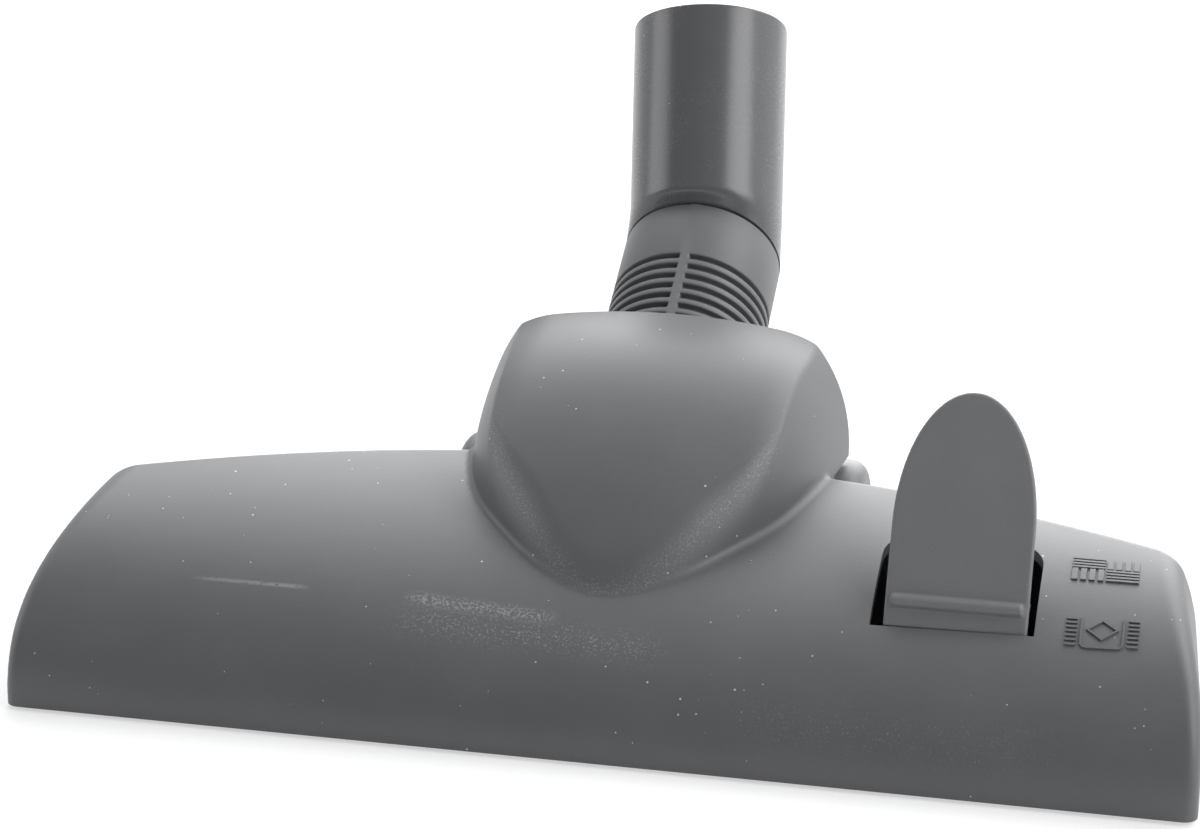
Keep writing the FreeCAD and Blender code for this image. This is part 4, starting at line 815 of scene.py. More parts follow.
def bristle_group():
    """Tufts on a staggered grid, each a ring of bristles that hang from its foot."""
    tree, given, out = node_group("tuft_row", "GeometryNodeTree", {
        "Geometry": "Geometry", "Row length": 0.23, "Tufts": 76, "Line gap": TUFT_LINE_GAP,
        "Tuft radius": TUFT_RADIUS, "Bristles": TUFT_BRISTLES, "Bristle radius": BRISTLE_RADIUS,
        "Bristle length": 0.01, "Splay": BRISTLE_SPLAY, "Seed": 7, "Foot": "Vector", "Material": "Material"},
        {"Geometry": "Geometry"})
    around, length, splay, seed = (given[k] for k in ("Tuft radius", "Bristle length", "Splay", "Seed"))
    grid = put(tree, "GeometryNodeMeshGrid", {"Size X": given["Row length"], "Size Y": given["Line gap"],
                                              "Vertices X": given["Tufts"], "Vertices Y": 2})
    odd = maths("MODULO", put(tree, "GeometryNodeInputIndex"), 2.0)
    pitch = over(given["Row length"], minus(given["Tufts"], 1.0))
    aside = put(tree, "ShaderNodeCombineXYZ", {0: times(minus(odd, 0.5), times(pitch, 0.5))})
    grid = put(tree, "GeometryNodeSetPosition", {"Geometry": grid, "Offset": aside})
    ring = put(tree, "GeometryNodeMeshCircle", {"Vertices": given["Bristles"], "Radius": around})
    tufts = put(tree, "GeometryNodeInstanceOnPoints", {"Points": grid, "Instance": ring})
    feet = put(tree, "GeometryNodeRealizeInstances", {0: tufts})
    spread = vectors("MULTIPLY", put(tree, "ShaderNodeCombineXYZ", {0: around, 1: around}), (0.6, 0.6, 0))
    jitter = random_vector(vectors("MULTIPLY", spread, (-1, -1, 0)), spread, seed)
    feet = put(tree, "GeometryNodeSetPosition", {"Geometry": feet, "Offset": jitter})
    hair = put(tree, "GeometryNodeMeshCylinder", {"Vertices": 5, "Radius": given["Bristle radius"],
                                                  "Depth": length}, fill_type="NGON")
    drop = put(tree, "ShaderNodeCombineXYZ", {2: times(length, -0.5)})
    hair = put(tree, "GeometryNodeTransform", {"Geometry": hair, "Translation": drop})
    tilts = [put(tree, "ShaderNodeCombineXYZ", {0: tilt, 1: tilt, 2: turn})
             for tilt, turn in ((times(splay, -1.0), 0.0), (times(splay, 1.0), math.pi))]
    hairs = put(tree, "GeometryNodeInstanceOnPoints", {"Points": feet, "Instance": hair,
                                                       "Rotation": random_vector(*tilts, plus(seed, 1.0))})
    row = put(tree, "GeometryNodeRealizeInstances", {0: hairs})
    row = put(tree, "GeometryNodeTransform", {"Geometry": row, "Translation": given["Foot"]})
    wire(out, {0: put(tree, "GeometryNodeSetMaterial", {"Geometry": row, "Material": given["Material"]})})
    return tree


def grown(name, group, values, points=()):
    """Plain mesh that a node group makes from named inputs and, if it needs them, from points."""
    made = mesh_object(name, points, [])
    step = made.modifiers.new("grow", "NODES")
    step.node_group = group
    sockets = {s.name: s.identifier for s in group.interface.items_tree if s.in_out == "INPUT"}
    for title, value in values.items():
        step[sockets[title]] = value
    settle(made)
    return made


def nylon(name):
    """Black nylon bristles, a little paler towards their cut tips."""
    material, place, shader = new_material(name)
    height = add_node(place.id_data, "ShaderNodeSeparateXYZ", {0: place}).outputs[2]
    tip = minus(1.0, over(height, TIP_HEIGHT), clamp=True)
    wire(shader, {"Base Color": mixed(tip, BRISTLE_GREY, shaded(BRISTLE_GREY, 2.5)), "Roughness": 0.35})
    return material


TUFT_ROW = bristle_group()
BRISTLE_NYLON = nylon("bristle")
for node in ("front_bristle_strip", "rear_bristle_strip"):
    low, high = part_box(node)
    tufts = round((high.x - low.x) / TUFT_PITCH)
    foot = (0.0, (low.y + high.y) / 2, high.z - BRISTLE_SINK)
    row = grown(node.replace("strip", "row"), TUFT_ROW, {
        "Row length": high.x - low.x - 2 * TUFT_PITCH, "Tufts": tufts, "Line gap": TUFT_LINE_GAP,
        "Tuft radius": TUFT_RADIUS, "Bristles": TUFT_BRISTLES, "Bristle radius": BRISTLE_RADIUS,
        "Bristle length": high.z - low.z - 2 * BRISTLE_SINK, "Splay": BRISTLE_SPLAY, "Seed": 7,
        "Foot": foot, "Material": BRISTLE_NYLON})
    fit(row, BRISTLE_NYLON, "brush", "bristle", node)
dress(moulded_plastic("frame_plastic", FRAME_GREY, 0.42, depth=0.00002, dust=0.01), "brush_carrier")
dress(brushed_steel("spring_steel", (0, 0, 1), 0.22), "right_lift_spring", "left_lift_spring", "pedal_spring")

# Elbow.
# A drum that tilts between the chassis ears, moulded in one with a ribbed neck that ends at the swivel joint.
# The ribs leave open grooves, crossed by one spine in front and one behind.
PIVOT = Vector((0, 0.047, 0.03685))
NECK_ANGLE = math.radians(25.7)
NECK_AXIS = Vector((0, math.cos(NECK_ANGLE), math.sin(NECK_ANGLE)))
NECK_UP = Vector((0, -math.sin(NECK_ANGLE), math.cos(NECK_ANGLE)))
JOINT_DISTANCE = 0.0743
JOINT_CENTRE = PIVOT + NECK_AXIS * JOINT_DISTANCE
NECK_RADIUS = 0.0204
NECK_CORE = 0.0188
NECK_BORE = 0.0158
BAND_LENGTH = 0.0180
GROOVE_COUNT = 8
GROOVE_PITCH = 0.0035
GROOVE_WIDTH = 0.00175
RIB_EDGE = 0.0004
SPINE_HALF = 0.0013
DRUM_RADIUS = 0.024
DRUM_HALF = 0.033
DRUM_WALL = 0.0022
WINDOW = (math.radians(140), math.radians(245), 0.023)
SOCKET_RADIUS = 0.0177
SOCKET_DEPTH = 0.0149
RING_SLOT = (0.0183, -0.0075, -0.0055)
SPINE_EDGE = 0.00035
WINDOW_REACH = 0.03
PIVOT_HOLE = 0.00305
RING_WHITE = (0.55, 0.54, 0.50, 1)
FELT_GREY = (0.16, 0.16, 0.155, 1)
ELBOW_GREY = (0.130, 0.131, 0.134, 1)


def eased(outline, radius, steps=3):
    """Open outline whose inner corners are rounded to a radius, where their sides are long enough."""
    points = [np.array(p, float) for p in outline]
    done = [tuple(points[0])]
    for before, here, after in zip(points, points[1:], points[2:]):
        a, b = before - here, after - here
        la, lb = np.linalg.norm(a), np.linalg.norm(b)
        cosine = float(np.clip((a @ b) / (la * lb), -1, 1))
        turn = math.pi - math.acos(cosine)
        if turn < 0.1:
            done.append(tuple(here))
            continue
        reach = min(radius * math.tan(turn / 2), 0.45 * la, 0.45 * lb)
        start, end = here + a / la * reach, here + b / lb * reach
        for share in np.linspace(0, 1, steps + 1):
            mix = (1 - share) ** 2 * start + 2 * share * (1 - share) * here + share ** 2 * end
            done.append(tuple(mix))
    return done + [tuple(points[-1])]


def turned(name, profile, centre, axis, count=96, fill=None, full=0.0):
    """Closed solid turned about an axis from a profile of radius and distance that ends on the axis.
    Fill gives, for each turn angle, how far that column is filled out to the full radius, as for a spine."""
    centre, axis = Vector(centre), Vector(axis).normalized()
    across = axis.orthogonal().normalized() if abs(axis.x) > 0.5 else Vector((1, 0, 0))
    across = (across - axis * across.dot(axis)).normalized()
    other = axis.cross(across)
    columns = fill or [(angle, 0.0) for angle in round_turn(count)]
    points = [centre + axis * profile[0][1], centre + axis * profile[-1][1]]
    middle = profile[1:-1]
    for angle, share in columns:
        out = across * math.cos(angle) + other * math.sin(angle)
        points += [centre + axis * distance + out * (radius + max(full - radius, 0) * share)
                   for radius, distance in middle]
    depth = len(middle)
    faces = []
    for n in range(len(columns)):
        here, there = 2 + n * depth, 2 + (n + 1) % len(columns) * depth
        faces += [[here + k, there + k, there + k + 1, here + k + 1] for k in range(depth - 1)]
        faces += [[0, there, here], [1, here + depth - 1, there + depth - 1]]
    return solid_object(name, points, faces)


def neck_profile():
    """Radius along the neck, from its root at the pivot to the joint plane: core, ribs and plain band."""
    outline = [(0.0, -JOINT_DISTANCE), (NECK_CORE, -JOINT_DISTANCE)]
    for n in range(GROOVE_COUNT, 0, -1):
        back = -BAND_LENGTH - GROOVE_PITCH * n
        front = back + GROOVE_PITCH - GROOVE_WIDTH
        outline += [(NECK_CORE, back), (NECK_RADIUS, back), (NECK_RADIUS, front), (NECK_CORE, front)]
    outline += [(NECK_CORE, -BAND_LENGTH), (NECK_RADIUS, -BAND_LENGTH), (NECK_RADIUS, 0.0), (0.0, 0.0)]
    return eased(outline, RIB_EDGE)


def spine_columns():
    """Turn angles round the neck, close together at the edges of the two spines, with the spine's fill."""
    half = SPINE_HALF / NECK_RADIUS
    edge = SPINE_EDGE / NECK_RADIUS
    columns = []
    for centre in (math.pi / 2, -math.pi / 2):
        columns += [(centre + side * (half + edge * step), share) for side in (-1, 1)
                    for step, share in ((0.6, 0.0), (0.15, 0.55), (-0.3, 0.9), (-1.0, 1.0))]
        columns += [(centre, 1.0)]
        span = math.pi - 2 * (half + edge)
        columns += [(centre + half + edge + span * n / 44, 0.0) for n in range(1, 44)]
    return sorted(((angle % (2 * math.pi)), share) for angle, share in columns)


def core_profile():
    """Air way up the neck with the socket for the tube's spigot and the slot for the snap ring."""
    slot_radius, slot_start, slot_end = RING_SLOT
    return [(0.0, -JOINT_DISTANCE), (NECK_BORE, -JOINT_DISTANCE), (NECK_BORE, -SOCKET_DEPTH),
            (SOCKET_RADIUS, -SOCKET_DEPTH), (SOCKET_RADIUS, slot_start), (slot_radius, slot_start),
            (slot_radius, slot_end), (SOCKET_RADIUS, slot_end), (SOCKET_RADIUS, 0.005), (0.0, 0.005)]


elbow = turned("neck_and_drum", neck_profile(), JOINT_CENTRE, NECK_AXIS,
               fill=spine_columns(), full=NECK_RADIUS)
drum_side = [(0.0, -DRUM_HALF), (DRUM_RADIUS, -DRUM_HALF), (DRUM_RADIUS, DRUM_HALF), (0.0, DRUM_HALF)]
combine(elbow, "UNION", turned("drum", eased(drum_side, 0.001), PIVOT, (1, 0, 0), 128))
inside, hollow_radius = DRUM_HALF - DRUM_WALL, DRUM_RADIUS - DRUM_WALL
hollow = [(0.0, -inside), (hollow_radius, -inside), (hollow_radius, inside), (0.0, inside)]
window_from, window_to, window_half = WINDOW
window = [(-window_half, PIVOT.y, PIVOT.z)]
window += [(-window_half, PIVOT.y + WINDOW_REACH * math.cos(a), PIVOT.z + WINDOW_REACH * math.sin(a))
           for a in np.linspace(window_from, window_to, 12)]
pin_hole = [(0.0, -0.04), (PIVOT_HOLE, -0.04), (PIVOT_HOLE, 0.04), (0.0, 0.04)]
combine(elbow, "DIFFERENCE",
        turned("drum_hollow", hollow, PIVOT, (1, 0, 0)),
        turned("neck_way", core_profile(), JOINT_CENTRE, NECK_AXIS),
        outline_solid("drum_window", window, (2 * window_half, 0, 0)),
        turned("pin_hole", pin_hole, PIVOT, (1, 0, 0), 32))
shade_smooth(elbow, 40)
neck_plastic = moulded_plastic("neck_plastic", ELBOW_GREY, 0.50, depth=0.00004, dust=0.03)
fit(elbow, neck_plastic, "neck", "neck_plastic", "neck_elbow")
dress(moulded_plastic("ring_plastic", RING_WHITE, 0.35, depth=0.00001, dust=0.0), "neck_snap_ring")
dress(plush("seal_felt", FELT_GREY), "neck_seal")
dress(brushed_steel("pin_steel", (1, 0, 0), 0.26), "right_pivot_pin", "left_pivot_pin", "pedal_pin",
      "lift_pin", "right_wheel_axle", "left_wheel_axle")

# Connection tube.
# A bent tube that turns in the neck by its spigot: the wand is pushed into its straight, smooth socket.
# Its round lower edge lies on the joint's plane and swells out into the tube.
TUBE_BEND = math.radians(30.2)
SWIVEL_REST = math.radians(-8.4)
TUBE_SIDEWAYS = NECK_UP * math.cos(SWIVEL_REST) + Vector((1, 0, 0)) * math.sin(SWIVEL_REST)
TUBE_LENGTH = 0.0638
TUBE_FOOT = JOINT_CENTRE + Vector((0.0008, 0, 0))
TUBE_WAY = NECK_AXIS * math.cos(TUBE_BEND) + TUBE_SIDEWAYS * math.sin(TUBE_BEND)
TUBE_END = JOINT_CENTRE + TUBE_WAY * TUBE_LENGTH
TUBE_AXIS = (TUBE_END - TUBE_FOOT).normalized()
TUBE_ROOT = 0.01985
TUBE_RIM = 0.0202
TUBE_BORE = 0.0175
TUBE_BORE_DEPTH = 0.036
TUBE_PASSAGE = 0.0154
COLLAR_END = 0.0145
COLLAR_RINGS = 9
RIM_ROUND = 0.0008
JOINT_GAP = 0.0008
SPIGOT_RADIUS = 0.0174
SPIGOT_LENGTH = 0.014
RING_SEAT = (0.0168, -0.00755, -0.00545)
BORE_EDGE = 0.0006
TUBE_GREY = (0.130, 0.131, 0.134, 1)


def quarter(radius, steps=8):
    """Profile of the rounded end of an air way, from the axis out to the full radius."""
    return [(radius * math.sin(a), -radius * math.cos(a)) for a in np.linspace(0, math.pi / 2, steps + 1)]


def ring_about(centre, axis, radius, count=128):
    """Circle of points about an axis; all such circles start on the same side."""
    across = (Vector((1, 0, 0)) - axis * axis.x).normalized()
    other = axis.cross(across)
    return [centre + (across * math.cos(a) + other * math.sin(a)) * radius
            for a in round_turn(count)]


def tube_skin():
    """Outer face of the tube: from a round edge on the joint's plane it swells into the leaning tube."""
    start = ring_about(JOINT_CENTRE + NECK_AXIS * JOINT_GAP, NECK_AXIS, NECK_RADIUS)
    end = ring_about(TUBE_FOOT + TUBE_AXIS * COLLAR_END, TUBE_AXIS, TUBE_ROOT)
    rings = []
    for share in np.linspace(0, 1, COLLAR_RINGS):
        far = 3 * share ** 2 - 2 * share ** 3
        leave, arrive = share ** 3 - 2 * share ** 2 + share, share ** 3 - share ** 2
        rings.append([a * (1 - far) + b * far + (b - a) * leave + TUBE_AXIS * (b - a).length * arrive
                      for a, b in zip(start, end)])
    for inset, back in ((0.0, 1.0), (0.29, 0.29), (1.0, 0.0)):
        centre = TUBE_FOOT + TUBE_AXIS * (TUBE_LENGTH - RIM_ROUND * back)
        rings.append(ring_about(centre, TUBE_AXIS, TUBE_RIM - RIM_ROUND * inset))
    return rings_solid("wand_tube", rings)


tube = tube_skin()
seat_radius, seat_start, seat_end = RING_SEAT
spigot = [(0.0, -SPIGOT_LENGTH), (SPIGOT_RADIUS, -SPIGOT_LENGTH), (SPIGOT_RADIUS, seat_start),
          (seat_radius, seat_start), (seat_radius, seat_end), (SPIGOT_RADIUS, seat_end),
          (SPIGOT_RADIUS, 0.004), (0.0, 0.004)]
combine(tube, "UNION", turned("spigot", spigot, JOINT_CENTRE, NECK_AXIS))
lower_way = [(0.0, -0.03), (TUBE_PASSAGE, -0.03)] + [(r, -d) for r, d in reversed(quarter(TUBE_PASSAGE))]
bore_foot = TUBE_LENGTH - TUBE_BORE_DEPTH
mouth = TUBE_BORE + BORE_EDGE
upper_way = quarter(TUBE_PASSAGE) + [
    (TUBE_PASSAGE, bore_foot - 0.001), (TUBE_BORE, bore_foot), (TUBE_BORE, TUBE_LENGTH - BORE_EDGE),
    (mouth, TUBE_LENGTH), (mouth, TUBE_LENGTH + 0.01), (0.0, TUBE_LENGTH + 0.01)]
combine(tube, "DIFFERENCE", turned("lower_way", lower_way, JOINT_CENTRE, NECK_AXIS),
        turned("upper_way", upper_way, TUBE_FOOT, TUBE_AXIS))


def tube_distance(p):
    """Distance from the tube's long face."""
    along = (p - np.array(TUBE_FOOT)) @ np.array(TUBE_AXIS)
    off = np.linalg.norm(p - np.array(TUBE_FOOT) - along[:, None] * np.array(TUBE_AXIS), axis=1)
    share = (along - COLLAR_END) / (TUBE_LENGTH - RIM_ROUND - COLLAR_END)
    return np.where(share > -0.001, off - TUBE_ROOT - (TUBE_RIM - TUBE_ROOT) * share, 1.0)


shade_by_form(tube, tube_distance)
tube_plastic = moulded_plastic("tube_plastic", TUBE_GREY, 0.26, depth=0.00001, dust=0.04)
fit(tube, tube_plastic, "tube", "tube_plastic", "connection_tube")

# Wheels.
# Two moulded wheels with rounded shoulders turn on steel stub axles at the rear of the head.
# Six spokes stand in their open inner side, between the hub and the rim.
WHEEL_GREY = (0.130, 0.131, 0.134, 1)
WHEEL_ROUND = 0.0045
WHEEL_TRIM = 0.0006
WHEEL_SLIM = 0.0010
WHEEL_RECESS = (0.0147, 0.005, 0.004)
HUB_EDGE = 0.0003
TREAD_EDGE = 0.001
SPOKES = 6
SPOKE_HALF = 0.0006
SPOKE_SETBACK = 0.0006
AXLE_HOLE = 0.00255
wheel_plastic = moulded_plastic("wheel_plastic", WHEEL_GREY, 0.45, depth=0.00003, dust=0.03)
for side, name in ((1, "right"), (-1, "left")):
    low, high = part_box(name + "_wheel")
    centre = Vector((0, (low.y + high.y) / 2, (low.z + high.z) / 2))
    radius = (high.z - low.z) / 2 - WHEEL_TRIM
    inner, outer = (low.x, high.x) if side > 0 else (-high.x, -low.x)
    outer -= WHEEL_SLIM
    rim, hub, deep = WHEEL_RECESS
    shoulder = [(radius - WHEEL_ROUND * (1 - math.cos(a)), outer - WHEEL_ROUND * (1 - math.sin(a)))
                for a in np.linspace(0, math.pi / 2, 9)]
    ring = [(0.0, inner), (hub - HUB_EDGE, inner), (hub, inner + HUB_EDGE), (hub, inner + deep),
            (rim, inner + deep), (rim, inner + HUB_EDGE), (rim + HUB_EDGE, inner),
            (radius - TREAD_EDGE, inner), (radius, inner + TREAD_EDGE)]
    wheel = turned(name + "_road_wheel", ring + shoulder + [(0.0, outer)], centre, (side, 0, 0))
    for turn in range(SPOKES):
        out = Vector((0, math.cos(math.tau * turn / SPOKES), math.sin(math.tau * turn / SPOKES)))
        across = Vector((side, 0, 0)).cross(out) * SPOKE_HALF
        foot = centre + Vector((side * (inner + SPOKE_SETBACK), 0, 0)) + out * (hub - 0.0005)
        reach = out * (rim - hub + 0.001)
        plan = [foot - across, foot + across, foot + across + reach, foot - across + reach]
        combine(wheel, "UNION", outline_solid("spoke", plan, (side * deep, 0, 0)))
    start, end = inner - 0.001, outer + 0.001
    hole = [(0.0, start), (AXLE_HOLE, start), (AXLE_HOLE, end), (0.0, end)]
    combine(wheel, "DIFFERENCE", turned("axle_hole", hole, centre, (side, 0, 0), 32))
    shade_smooth(wheel, 40)
    fit(wheel, wheel_plastic, name + "_wheel", "wheel_plastic", name + "_wheel")

# Pedal.
# A rocker that the foot tips over: a curved tongue with a grip rib, on two cheeks that swing on a pin.
# The lift pin in the cheeks pushes the brush frame down.
PEDAL_FOOT_Y = -0.0136
PEDAL_CHORD = 0.054
PEDAL_ANGLE = math.radians(57.2)
PEDAL_HALF = 0.0161
PEDAL_SHIFT = 0.0007
PEDAL_THICKNESS = 0.0026
PEDAL_BULGE = 0.0013
PEDAL_SHOULDER = 0.0227
PEDAL_TOE = 0.001
PEDAL_EDGE = 0.0006
PEDAL_STEP = 0.00055
GRIP_RIB_HALF = 0.01475
GRIP_RIB_RADIUS = 0.0015
GRIP_RIB_AT = (0.005, 0.0006)
CHEEK_OUTER, CHEEK_INNER = 0.0120, 0.0096
CHEEK_TOP = [(0.0005, -0.0021), (0.024, -0.0008)]
CHEEK_NOSE, CHEEK_NOSE_TOP, CHEEK_NOSE_FOOT = 0.0026, 0.0015, 0.0024
HUB_RADIUS = 0.0042
PEDAL_PIN_HOLE = 0.00205
LIFT_PIN_HOLE = 0.0015
# The pedal's grey is lighter than the cover's as painted light, standing for the light on its steep face.
PEDAL_PAINTED_LIGHT_GREY = (0.190, 0.191, 0.195, 1)
pedal_foot_z = float(cover_height(np.array([PEDAL_X]), np.array([PEDAL_FOOT_Y]))[0])
pin_low, pin_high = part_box("pedal_pin")
pedal_axle = ((pin_low.y + pin_high.y) / 2, (pin_low.z + pin_high.z) / 2)
lift_low, lift_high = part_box("lift_pin")
lift_axle = ((lift_low.y + lift_high.y) / 2, (lift_low.z + lift_high.z) / 2)


def pedal_side(along, above):
    """Place in the pedal's side view, from the distance along its chord and the height over it."""
    y = PEDAL_FOOT_Y + along * math.cos(PEDAL_ANGLE) - above * math.sin(PEDAL_ANGLE)
    return y, pedal_foot_z + along * math.sin(PEDAL_ANGLE) + above * math.cos(PEDAL_ANGLE)


def cheek_outline():
    front, deep = lift_axle[0] + CHEEK_NOSE, lift_axle[1]
    hub_y, hub_z = pedal_axle
    return [pedal_side(*place) for place in CHEEK_TOP] + [
        (front, deep + CHEEK_NOSE_TOP), (front, deep - CHEEK_NOSE_FOOT),
        (hub_y, hub_z - HUB_RADIUS), (hub_y - HUB_RADIUS, hub_z)]


def convex_distance(outline, y, z):
    """Distance from a convex outline in the side view, listed clockwise or not, negative inside."""
    centre = np.mean(outline, 0)
    value = np.full(np.shape(y), -1.0)
    for (ay, az), (by, bz) in zip(outline, outline[1:] + outline[:1]):
        normal = np.array([bz - az, ay - by]) / math.hypot(by - ay, bz - az)
        if normal @ (np.array([ay, az]) - centre) < 0:
            normal = -normal
        value = np.maximum(value, normal[0] * (y - ay) + normal[1] * (z - az))
    return value


def pedal_distance(p):
    x, y, z = np.abs(p[..., 0] - PEDAL_X - PEDAL_SHIFT), p[..., 1], p[..., 2]
    s = (y - PEDAL_FOOT_Y) * math.cos(PEDAL_ANGLE) + (z - pedal_foot_z) * math.sin(PEDAL_ANGLE)
    h = (z - pedal_foot_z) * math.cos(PEDAL_ANGLE) - (y - PEDAL_FOOT_Y) * math.sin(PEDAL_ANGLE)
    middle = (PEDAL_CHORD - PEDAL_TOE) / 2
    radius = ((middle + PEDAL_TOE) ** 2 + PEDAL_BULGE ** 2) / (2 * PEDAL_BULGE)
    face = np.hypot(s - middle, h - PEDAL_BULGE + radius) - radius
    plate = np.maximum(face, -face - PEDAL_THICKNESS)
    tip = PEDAL_CHORD - PEDAL_SHOULDER
    u, v = x / PEDAL_HALF, np.maximum(s - PEDAL_SHOULDER, 0) / tip
    size = np.hypot(u, v) + 1e-6
    tongue = (size - 1) * size / (np.hypot(u / PEDAL_HALF, v / tip) + 1e-6)
    plate = rounded_max(plate, rounded_max(tongue, -PEDAL_TOE - s, 0.0004), PEDAL_EDGE)
    rib_s, rib_h = GRIP_RIB_AT
    rib = rounded_max(np.hypot(s - rib_s, h - rib_h) - GRIP_RIB_RADIUS, x - GRIP_RIB_HALF, 0.0006)
    body = rounded_min(plate, np.maximum(rib, -face - PEDAL_THICKNESS / 2), 0.0004)
    cheek = np.minimum(convex_distance(cheek_outline(), y, z),
                       np.hypot(y - pedal_axle[0], z - pedal_axle[1]) - HUB_RADIUS)
    cheek = rounded_max(cheek, np.maximum(x - CHEEK_OUTER, CHEEK_INNER - x), 0.0003)
    body = rounded_min(body, cheek, 0.0005)
    hole = np.minimum(np.hypot(y - pedal_axle[0], z - pedal_axle[1]) - PEDAL_PIN_HOLE,
                      np.hypot(y - lift_axle[0], z - lift_axle[1]) - LIFT_PIN_HOLE)
    return np.maximum(body, -hole)


pedal_low, pedal_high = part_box("rocker_pedal")
margin = Vector((0.002, 0.002, 0.002))
pedal = skin_object("foot_pedal", pedal_distance, 0.0, pedal_low - margin, pedal_high + margin, PEDAL_STEP)
shade_smooth(pedal, 50)
pedal_plastic = moulded_plastic("pedal_plastic", PEDAL_PAINTED_LIGHT_GREY, 0.50, dust=0.05)
fit(pedal, pedal_plastic, "pedal", "pedal_plastic", "rocker_pedal")

# Cover screws.
# Four plated steel screws with cross recesses hold the chassis up to the bosses in the cover.
SCREW_SEAT_Z = 0.0018
SCREW_LENGTH = 0.012
SCREW_RADIUS = 0.0016
SCREW_HEAD = 0.0034
SCREW_HEAD_HEIGHT = 0.0014
THREAD_PITCH = 0.0008
THREAD_DEPTH = 0.0003
RECESS_HALF = (0.0019, 0.00032)
RECESS_DEPTH = 0.0010


def screw_solid():
    """One screw, head down, with its seat at the origin: domed head, cross recess and ringed thread."""
    dome = [(0.0, -SCREW_HEAD_HEIGHT), (SCREW_HEAD * 0.55, -SCREW_HEAD_HEIGHT),
            (SCREW_HEAD * 0.9, -SCREW_HEAD_HEIGHT * 0.7), (SCREW_HEAD, -SCREW_HEAD_HEIGHT * 0.35),
            (SCREW_HEAD, 0.0), (SCREW_RADIUS, 0.0)]
    core = SCREW_RADIUS - THREAD_DEPTH
    thread = [(radius, 0.001 + (n + share) * THREAD_PITCH)
              for n in range(round((SCREW_LENGTH - 0.003) / THREAD_PITCH))
              for radius, share in ((core, 0.0), (SCREW_RADIUS, 0.5))]
    tip = [(core, SCREW_LENGTH - 0.0015), (0.0, SCREW_LENGTH)]
    made = turned("screw", dome + thread + tip, (0, 0, 0), (0, 0, 1), 32)
    long, thin = RECESS_HALF
    recess_z = RECESS_DEPTH - SCREW_HEAD_HEIGHT
    combine(made, "DIFFERENCE", box_solid("recess", (-long, -thin, -0.01), (long, thin, recess_z)),
            box_solid("recess", (-thin, -long, -0.01), (thin, long, recess_z)))
    shade_smooth(made, 40)
    return made


def screw_group():
    """One screw set at each place, each turned by its own angle."""
    tree, given, out = node_group("screw_set", "GeometryNodeTree", {
        "Geometry": "Geometry", "Screw": "Object", "Seed": 3, "Material": "Material"},
        {"Geometry": "Geometry"})
    screw = add_node(tree, "GeometryNodeObjectInfo", {"Object": given["Screw"]}).outputs["Geometry"]
    turn = random_vector((0, 0, 0), (0, 0, math.pi), given["Seed"])
    set_in = put(tree, "GeometryNodeInstanceOnPoints", {"Points": given["Geometry"], "Instance": screw,
                                                        "Rotation": turn})
    whole = put(tree, "GeometryNodeRealizeInstances", {0: set_in})
    wire(out, {0: put(tree, "GeometryNodeSetMaterial", {"Geometry": whole, "Material": given["Material"]})})
    return tree


one_screw = screw_solid()
screw_steel = brushed_steel("screw_steel", (0, 0, 1), 0.25)
screws = grown("chassis_screws", screw_group(), {"Screw": one_screw, "Seed": 3, "Material": screw_steel},
               [(x, y, SCREW_SEAT_Z) for x, y in BOSS_PLACES])
bpy.data.objects.remove(one_screw)
fit(screws, screw_steel, "head", "screw_steel", "cover_screws")

# Floor and light.
# A wide pale floor under soft studio light from above, behind and both sides.
FLOOR_HALF = 6.0


def floor_material():
    """Pale floor that shows white to the camera and keeps the object's shadow."""
    material = bpy.data.materials.new("studio_floor")
    tree = empty_tree(material)
    pale, seen = (put(tree, "ShaderNodeBsdfDiffuse", {"Color": (tone, tone, tone, 1)})
                  for tone in (0.80, 0.50))
    glow = put(tree, "ShaderNodeEmission", {"Color": (1, 1, 1, 1), "Strength": 0.56})
    shown = put(tree, "ShaderNodeAddShader", {0: seen, 1: glow})
    path = add_node(tree, "ShaderNodeLightPath").outputs
    camera = maths("MAXIMUM", path["Is Camera Ray"], path["Is Glossy Ray"])
    both = put(tree, "ShaderNodeMixShader", {0: camera, 1: pale, 2: shown})
    add_node(tree, "ShaderNodeOutputMaterial", {0: both})
    return material


corners = [(x * FLOOR_HALF, y * FLOOR_HALF, 0) for x, y in ((-1, -1), (1, -1), (1, 1), (-1, 1))]
floor = mesh_object("studio_floor", corners, [[0, 1, 2, 3]])
floor.data.materials.append(floor_material())


def studio_world():
    """White to the camera; as light, bright behind the object and dim in front of it."""
    world = bpy.data.worlds.new("studio_world")
    tree = empty_tree(world)
    path = add_node(tree, "ShaderNodeLightPath").outputs
    seen = maths("MAXIMUM", path["Is Camera Ray"], path["Is Transmission Ray"])
    bright = put(tree, "ShaderNodeBackground", {"Color": (1, 1, 1, 1), "Strength": 1.0})
    direction = add_node(tree, "ShaderNodeTexCoord").outputs["Generated"]
    way = add_node(tree, "ShaderNodeSeparateXYZ", {0: direction}).outputs
    level = plus(times(plus(times(way["Y"], 1.6), 0.3, clamp=True), 0.88), 0.12)
    dim = put(tree, "ShaderNodeBackground", {"Color": (0.93, 0.96, 1.0, 1), "Strength": level})
    both = put(tree, "ShaderNodeMixShader", {0: seen, 1: dim, 2: bright})
    add_node(tree, "ShaderNodeOutputWorld", {0: both})
    return world


bpy.context.scene.world = studio_world()


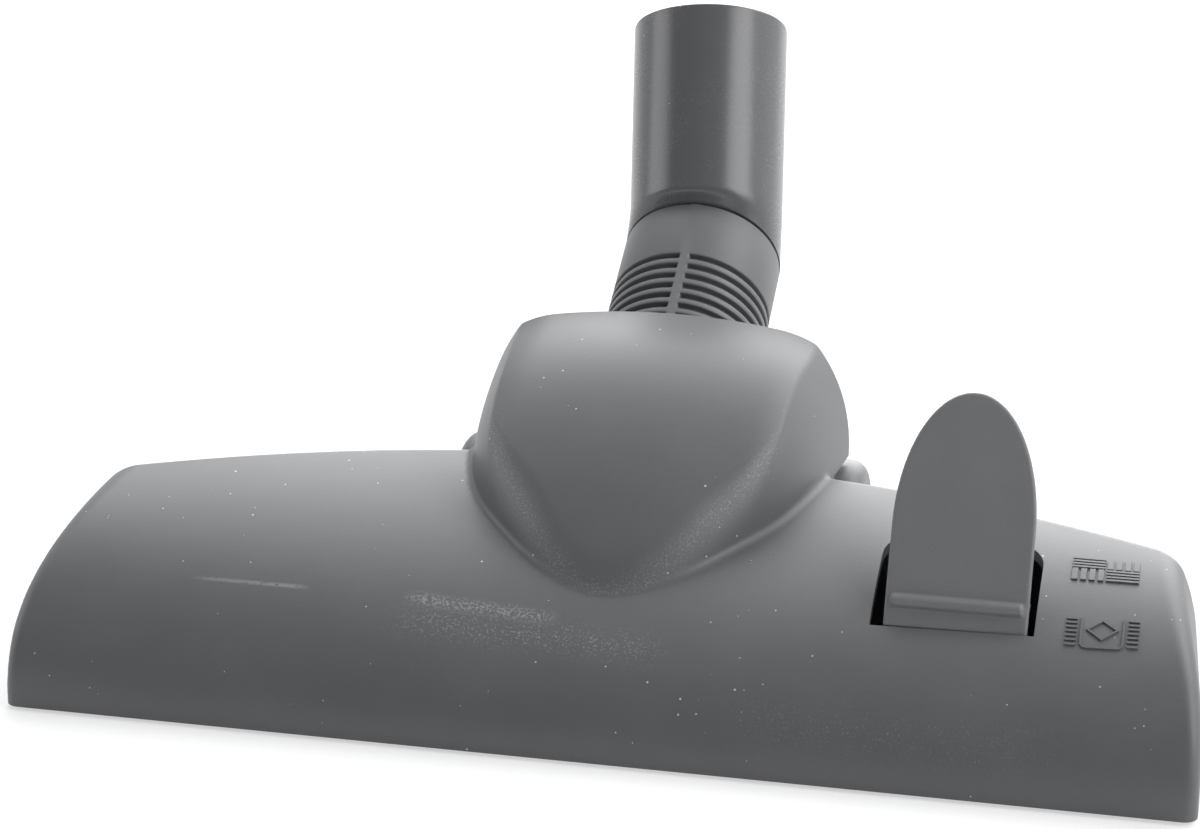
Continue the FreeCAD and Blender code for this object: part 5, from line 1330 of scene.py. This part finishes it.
def soft_box(name, place, target, size, watts):
    """Square area lamp that faces a target."""
    lamp = bpy.data.lights.new(name, "AREA")
    lamp.size = size
    lamp.energy = watts
    made = bpy.data.objects.new(name, lamp)
    made.location = place
    made.rotation_euler = (Vector(target) - Vector(place)).to_track_quat("-Z", "Y").to_euler()
    made.visible_camera = False
    bpy.context.scene.collection.objects.link(made)


soft_box("key_light", (0.95, 0.75, 1.15), (0, 0.02, 0.03), 0.9, 9)
soft_box("top_light", (-0.4, 1.2, 1.3), (0, 0.02, 0.03), 1.2, 10)
soft_box("back_light", (0.1, 2.2, 0.8), (0, 0.02, 0.03), 1.8, 45)
soft_box("side_light", (1.37, -0.33, 1.01), (0, 0.12, 0.11), 1.0, 16)
soft_box("left_light", (-1.5, -0.10, 0.6), (0, 0.05, 0.05), 0.8, 6)

# Camera.
# It looks down on the head from the front and a little from the right, as the photograph does.
FOCAL_PIXELS = 3160.0
IMAGE_WIDTH = 1200.0
SENSOR_WIDTH = 36.0
CAMERA_PLACE = Vector((0.1362, -0.6544, 0.3363))
CAMERA_ELEVATION = math.radians(21.69)
CAMERA_AZIMUTH = math.radians(12.01)
CAMERA_ROLL = math.radians(-0.067)
lens = bpy.data.cameras.new("photo_camera")
lens.sensor_width = SENSOR_WIDTH
lens.lens = FOCAL_PIXELS * SENSOR_WIDTH / IMAGE_WIDTH
camera = bpy.data.objects.new("photo_camera", lens)
back = Vector((math.sin(CAMERA_AZIMUTH) * math.cos(CAMERA_ELEVATION),
               -math.cos(CAMERA_AZIMUTH) * math.cos(CAMERA_ELEVATION), math.sin(CAMERA_ELEVATION)))
right = (-back).cross(Vector((0, 0, 1))).normalized()
up = right.cross(-back)
turned_right = right * math.cos(CAMERA_ROLL) + up * math.sin(CAMERA_ROLL)
turned_up = up * math.cos(CAMERA_ROLL) - right * math.sin(CAMERA_ROLL)
axes = Matrix((turned_right, turned_up, back)).transposed().to_4x4()
camera.matrix_world = Matrix.Translation(CAMERA_PLACE) @ axes
bpy.context.scene.collection.objects.link(camera)
bpy.context.scene.camera = camera
bpy.context.scene.view_settings.view_transform = "Standard"

low, high = cad_bounds
